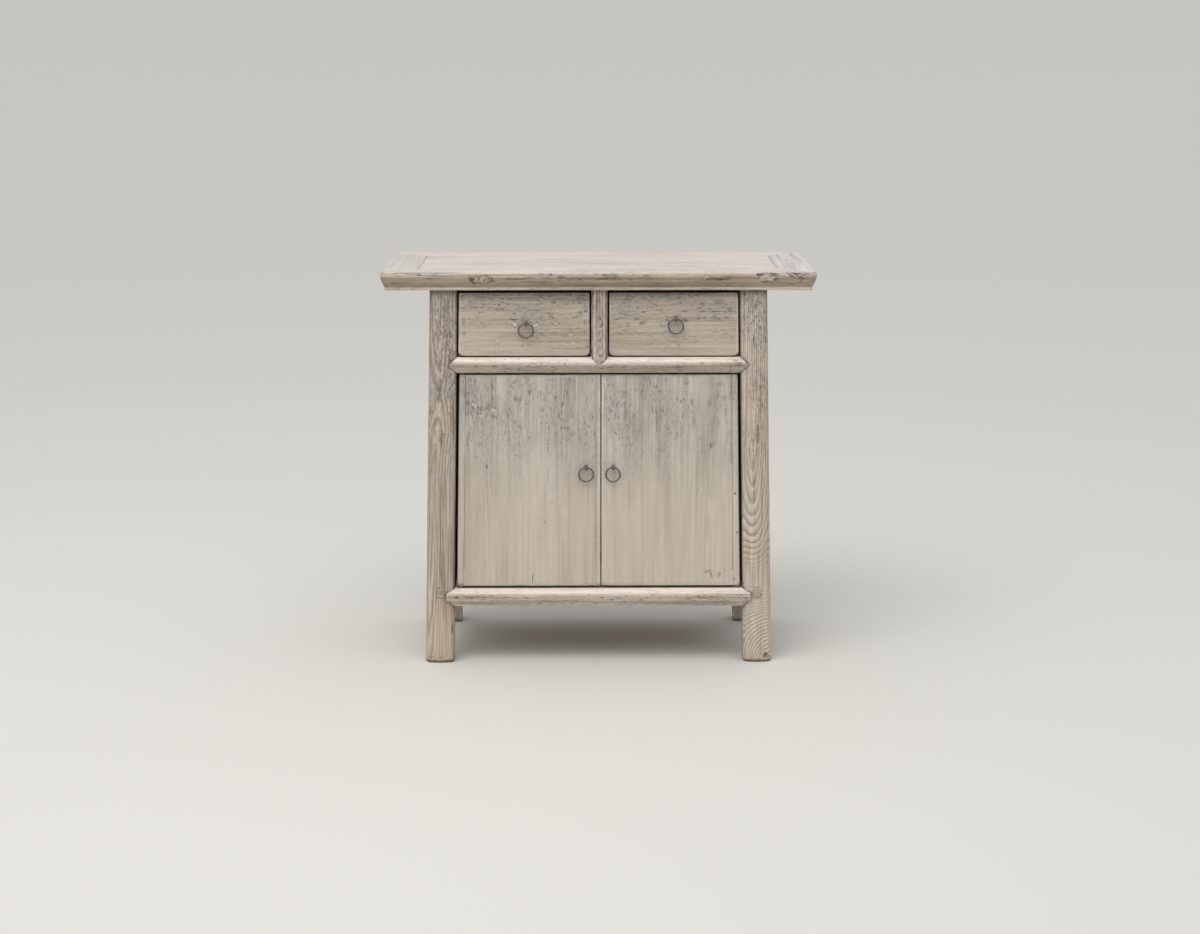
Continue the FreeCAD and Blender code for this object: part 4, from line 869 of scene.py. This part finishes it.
top_front_marks = [
    (-267, 920, 23, 8, 0, 1, 0.8, 0.5), (-292, 920, 5, 10, 25, 1.8, 1, 0),
    (-287, 911, 7, 4, 0, 1.6, 1, 0), (-243, 918, 5, 7, 0, 1.6, 1, 0),
    (-275, 920, 9, 1.4, 48, 1, 1, 0), (-262, 918, 8, 1.4, 48, 1, 1, 0),
    (-252, 922, 7, 1.4, 40, 1, 1, 0), (-264, 929, 24, 1.5, 3, 1, 0.95, 0),
    (-191.2, 921, 42, 3, 0, 0.8, 0.7, 0), (-140, 914, 50, 2.6, -3, 0.5, 0.5, 0),
    (268, 920, 32, 4.5, 0, 1.6, 0.95, 0), (246, 925.5, 10, 3, 20, 0.8, 0.6, 0.8),
    (276, 923.5, 18, 1.6, -6, 0.5, 0.2, 0.7), (388.6, 924, 20, 11, 0, 2, 0.9, 1),
    (370, 931, 11, 5, 0, 2, 1, 0), (392, 927, 9, 1.5, -40, 1.2, 1, 0),
    (384, 920, 8, 1.4, 50, 1.2, 0.95, 0), (455, 933, 22, 2, -8, 1.2, 0.9, 0),
    (404, 930, 10, 5, 0, 1.8, 0.95, 0), (386, 914, 12, 3, 10, 1, 0.8, 0),
    (440, 929, 17, 1.6, -35, 1.8, 0.95, 0), (458, 927.5, 17, 1.6, -35, 1.8, 0.9, 0),
    (470, 929.5, 12, 1.5, 30, 1.5, 0.85, 0), (452, 922, 14, 5, -25, 0.8, 0.5, 0.3),
    (71.9, 935.5, 10, 3.5, 0, 1.8, 0.3, 0.95), (-400, 935.5, 34, 3, 0, 1.6, 0.4, 0.9),
    (-345, 935.8, 28, 2.6, 0, 1.4, 0.4, 0.8), (-412.5, 931.5, 6, 4, 0, 1.4, 0.95, 0),
    (-450, 935, 18, 2.4, 0, 1, 0.4, 0.6), (-108.8, 931.7, 9, 3, 0, 0.6, 0.7, 0),
    (-159.6, 925, 9, 3, 0, 0.6, 0.6, 0), (-85.9, 926.6, 8, 3, 0, 0.5, 0.7, 0),
    (0, 935.4, 490, 1.9, 0, 0.15, 0, 0.85), (30, 929, 24, 5, 0, 0.6, 0.55, 0),
    (20, 921, 34, 3, 3, 0.6, 0.6, 0),
    (110, 929, 12, 3.4, 0, 0.5, 0.55, 0), (190, 932, 20, 2.4, 0, 0.5, 0.45, 0),
    (-30, 905, 40, 3, 0, 0.4, 0.5, 0), (-440, 914, 36, 4, 5, 0.3, 0.3, 0),
]
leg_left_marks = [
    (-371.1, 660.2, 6.5, 19, 0, 0.6, 0.55, 0), (-367.6, 543.3, 7, 24, 0, 0.8, 0.6, 0),
    (-378, 571, 5.5, 6, 0, 0.5, 0.3, 0.6), (-352.1, 819.9, 5, 12, 0, 0.4, 0.55, 0),
    (-359.5, 790.3, 6, 12, 20, 0.4, 0.5, 0), (-384, 850, 9, 16, 0, 0.3, 0.4, 0),
    (-352, 858, 8, 14, 0, 0.3, 0.35, 0), (-372, 800, 5, 14, 15, 0.3, 0.3, 0.3),
    (-378, 735, 6, 22, 0, 0.3, 0.35, 0), (-357, 700, 4, 14, 0, 0.3, 0.35, 0),
    (-345.5, 81.9, 4, 16, 0, 3, 0.9, 0), (-400, 14, 8, 3, 0, 1.5, 0.6, 0),
    (-368, 660, 8, 26, 0, 0.2, 0.25, 0), (-360, 845, 20, 26, 0, 0.2, 0.2, 0),
    (-375, 12, 9, 3, 10, 1.5, 0.5, 0),
]
leg_right_marks = [
    (371.7, 554.7, 5.5, 25, 0, 0.8, 0.65, 0), (365.4, 672.6, 6, 22, 0, 0.4, 0.4, 0),
    (363.6, 626.6, 6, 12, 0, 0.4, 0.35, 0.4), (352.1, 866.8, 6, 22, 12, 0.5, 0.5, 0),
    (366, 862, 6, 20, -14, 0.5, 0.45, 0), (372, 838, 5, 14, 0, 0.3, 0.35, 0),
    (358, 760, 4, 24, 0, 0.3, 0.4, 0), (362, 725, 5, 10, 0, 0.3, 0.4, 0),
    (385.2, 164.9, 2.6, 2.6, 0, 2, 1, 0), (399, 16, 8, 9, 0, 3.5, 0.9, 0),
]
middle_rail_marks = [
    # the first mark is a painted highlight: a long pale band across the rail's front
    (0, 722.5, 345, 6, 0, 0, 0, 0.8),
    (-153, 719, 9, 6, 0, 0.4, 0.5, 0.25), (-239.5, 716.4, 11, 3, 0, 0.3, 0.55, 0),
    (-284, 718, 6, 4, 0, 0.3, 0.5, 0), (238.9, 723.8, 6, 4, 0, 0.4, 0.65, 0),
    (326, 721.9, 8, 8, 20, 0.7, 0.7, 0), (318, 729, 6, 4, 0, 0.5, 0.6, 0),
    (180, 716, 14, 2.5, 0, 0.3, 0.45, 0), (60, 716, 14, 2.6, 10, 0.3, 0.4, 0),
]
lower_rail_marks = [
    (-336.5, 162, 5, 4, 0, 0.6, 0.7, 0), (-301, 162, 9, 2.5, 0, 0.5, 0.65, 0),
    (-271.1, 162, 7, 2.5, 0, 0.5, 0.65, 0), (-219.6, 163.3, 12, 2, 0, 0.4, 0.5, 0),
    (-139.1, 144, 0.9, 6, -8, 2, 0.95, 0), (-128, 149.5, 13, 1, 17, 1.5, 0.9, 0),
    (197.7, 154.6, 34, 1.3, 0, 0.6, 0.6, 0), (290, 158, 30, 1.3, -18, 0.6, 0.55, 0),
    (250, 160, 24, 1.2, -15, 0.5, 0.5, 0), (60, 158, 40, 1.2, 3, 0.4, 0.4, 0),
]

# %% [markdown]
# ## The carcass, piece by piece
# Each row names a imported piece, its finish, its grain and how fine its grid has to be. Cells are long along
# the grain and short across it, as the wear is.

# %% Carcass
carcass_pieces = [
    ("leg_front_left", "elm_legs", "leg_left", "Z", 1.6, (5, 6, 10), leg_left_marks),
    ("leg_front_right", "elm_legs", "leg_right", "Z", 1.6, (5, 6, 10), leg_right_marks),
    ("leg_back_left", "elm_legs", "leg_back", "Z", 1.6, (6, 6, 12), ()),
    ("leg_back_right", "elm_legs", "leg_back", "Z", 1.6, (6, 6, 12), ()),
    ("front_middle_rail", "elm_rails", "rail", "X", 1.4, (9, 6, 3), middle_rail_marks),
    ("front_lower_rail", "elm_rails", "rail", "X", 1.4, (9, 6, 4), lower_rail_marks),
    ("centre_stile", "elm_rails", "stile", "Z", 0.8, (4, 6, 7), stile_marks),
    ("top_front_rail", "elm_top", "top_front", "X", 1.0, (9, 6, 3.5), top_front_marks),
    ("top_back_rail", "elm_top", "top", "X", 1.0, (12, 7, 6), ()),
    ("top_end_left", "elm_top", "top_end_left", "Y", 1.0, (6, 10, 4), ()),
    ("top_end_right", "elm_top", "top_end_right", "Y", 1.0, (6, 10, 4), ()),
    ("top_panel", "elm_top", "top", "X", 0.6, (12, 7, 20), ()),
    ("back_upper_rail", "elm_rails", "rail", "X", 1.2, (14, 9, 9), ()),
    ("back_middle_rail", "elm_rails", "rail", "X", 1.2, (14, 9, 9), ()),
    ("back_lower_rail", "elm_rails", "rail", "X", 1.2, (14, 9, 9), ()),
    ("back_panel_upper", "elm_sides", "panel_back", "X", 0.5, (12, 20, 8), ()),
    ("back_panel_lower", "elm_sides", "panel_back", "X", 0.5, (12, 20, 9), ()),
]
for side_name in ("left", "right"):
    for level in ("upper", "middle", "lower"):
        carcass_pieces.append(
            ("side_" + level + "_rail_" + side_name, "elm_rails", "side_rail", "Y", 1.2, (8, 12, 6), ()),
        )
    for level in ("upper", "lower"):
        carcass_pieces.append(
            ("side_panel_" + level + "_" + side_name, "elm_sides", "panel_side", "Z", 0.5, (20, 8, 12), ()),
        )
for node, slot, finish_name, grain, arris_mm, cells, marks in carcass_pieces:
    piece = worn_piece(node, "carcass", finish_name, grain, arris_mm, cells, marks)
    print(piece.name, len(piece.data.polygons))

# %% [markdown]
# ## Doors and drawer fronts
# They are flatter than the frame, because hands and cloths have rubbed them.

# %% Doors and drawer fronts
rubbed_wave_mm = 0.4
moving_pieces = [
    ("door_left_board", "door_left", "elm_doors", "door", "Z", 0.8, (6, 20, 9), door_left_marks),
    ("door_left_edge_strip", "door_left", "elm_doors", "door", "Z", 0.8, (5, 10, 9), ()),
    ("door_left_pivot_strip", "door_left", "elm_doors", "door", "Z", 0.8, (5, 6, 9), ()),
    ("door_right_board", "door_right", "elm_doors", "door", "Z", 0.8, (6, 20, 9), door_right_marks),
    ("door_right_pivot_strip", "door_right", "elm_doors", "door", "Z", 0.8, (5, 6, 9), pivot_right_marks),
    ("drawer_left_front", "drawer_left", "elm_drawer_fronts", "drawer", "X", 1.6, (8, 9, 5),
     drawer_left_marks),
    ("drawer_right_front", "drawer_right", "elm_drawer_fronts", "drawer", "X", 1.6, (8, 9, 5),
     drawer_right_marks),
]
for node, body, slot, finish_name, grain, arris_mm, cells, marks in moving_pieces:
    piece = worn_piece(node, body, finish_name, grain, arris_mm, cells, marks, rubbed_wave_mm)
    print(piece.name, len(piece.data.polygons))

# %% [markdown]
# ## Inside
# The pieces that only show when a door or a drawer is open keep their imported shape. They were planed and
# then left alone, so they get a plainer, warmer finish.

# %% Inner pieces
inner_grain = {
    "floor_board": "inner_x", "dust_board": "inner_x", "floor_batten": "inner_x", "top_battens": "inner_y",
    "drawer_runner_left": "inner_y", "drawer_runner_centre": "inner_y", "drawer_runner_right": "inner_y",
    "door_left_battens": "inner_x", "door_right_battens": "inner_x",
}
for side_name in ("left", "right"):
    for board in ("inner_side", "outer_side", "bottom"):
        inner_grain["drawer_" + side_name + "_" + board] = "inner_y"
    inner_grain["drawer_" + side_name + "_back"] = "inner_x"


def refinish(node, material):
    """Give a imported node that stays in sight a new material."""
    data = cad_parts[node].data
    data.materials.clear()
    data.materials.append(material)


for node, finish_name in inner_grain.items():
    refinish(node, finish[finish_name])
print(len(inner_grain), "inner pieces")

# %% [markdown]
# ## Ring pulls
# A smith bends a bar round a mandrel and closes it, so no ring is quite round or even. The ring starts as a
# circle of wire that is spun round the ring's centre. Slow waves then pull it out of round and change its
# thickness, and fast ones dimple it like a hammer.

# %% Rings
wire_sides = 12
ring_steps = 84
ring_dent_mm = 2.6


def hammered_ring(node, body, seed):
    """Uneven forged ring in place of a packed one."""
    low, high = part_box(node)
    centre = (low + high) / 2
    wire = (high.y - low.y) / 2
    radius = (high.x - low.x) / 2 - wire
    shape = bmesh.new()
    bmesh.ops.create_circle(shape, cap_ends=False, segments=wire_sides, radius=wire)
    bmesh.ops.translate(shape, verts=shape.verts[:], vec=(radius, 0, 0))
    bmesh.ops.spin(
        shape, geom=shape.verts[:] + shape.edges[:], cent=(0, 0, 0), axis=(0, 1, 0), dvec=(0, 0, 0),
        angle=2 * math.pi, steps=ring_steps, use_merge=True, use_duplicate=False,
    )
    bmesh.ops.remove_doubles(shape, verts=shape.verts[:], dist=weld)
    bmesh.ops.recalc_face_normals(shape, faces=shape.faces[:])
    shift = Vector((seed * 3.1, seed * 1.7, seed * 0.9))
    for vert in shape.verts:
        around = Vector((vert.co.x, 0, vert.co.z)).normalized()
        core = around * radius
        offset = vert.co - core
        thick = 0.91 + 0.05 * noise.noise(around * 1.6 + shift)
        dimple = 0.04 * noise.noise(vert.co / (ring_dent_mm * mm) + shift)
        pull = noise.noise(around * 0.9 + shift) - 0.25
        vert.co = core + offset * (thick + dimple) + around * pull * mm
    bmesh.ops.translate(shape, verts=shape.verts[:], vec=centre)
    piece = object_from(shape, node + "_forged", iron, hard_edges=False)
    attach(piece, body)
    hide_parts(node)
    return piece


# %% Split pins
board_front_mm = -181
staple_dent_mm = 2.2


def hammered_staple(node, body):
    """Split pin whose eye has been beaten broad, in place of a packed one."""
    shape = merged_copy(node)
    bmesh.ops.subdivide_edges(shape, edges=shape.edges[:], cuts=1, use_grid_fill=True)
    low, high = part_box(node)
    middle = (low.x + high.x) / 2
    for vert in shape.verts:
        proud = soft_step(board_front_mm - vert.co.y / mm, 0, 3)
        dimple = 0.12 * noise.noise(vert.co / (staple_dent_mm * mm))
        vert.co.x = middle + (vert.co.x - middle) * (1 + (0.7 + dimple) * proud)
    piece = object_from(shape, node + "_forged", iron)
    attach(piece, body)
    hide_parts(node)
    return piece


ring_seeds = {"drawer_left": 1, "drawer_right": 2, "door_left": 3, "door_right": 4}
for name, seed in ring_seeds.items():
    ring_piece = hammered_ring(name + "_ring", name + "_ring_pull", seed)
    staple_piece = hammered_staple(name + "_staple", name)
    for piece in (ring_piece, staple_piece):
        print(piece.name, len(piece.data.polygons))
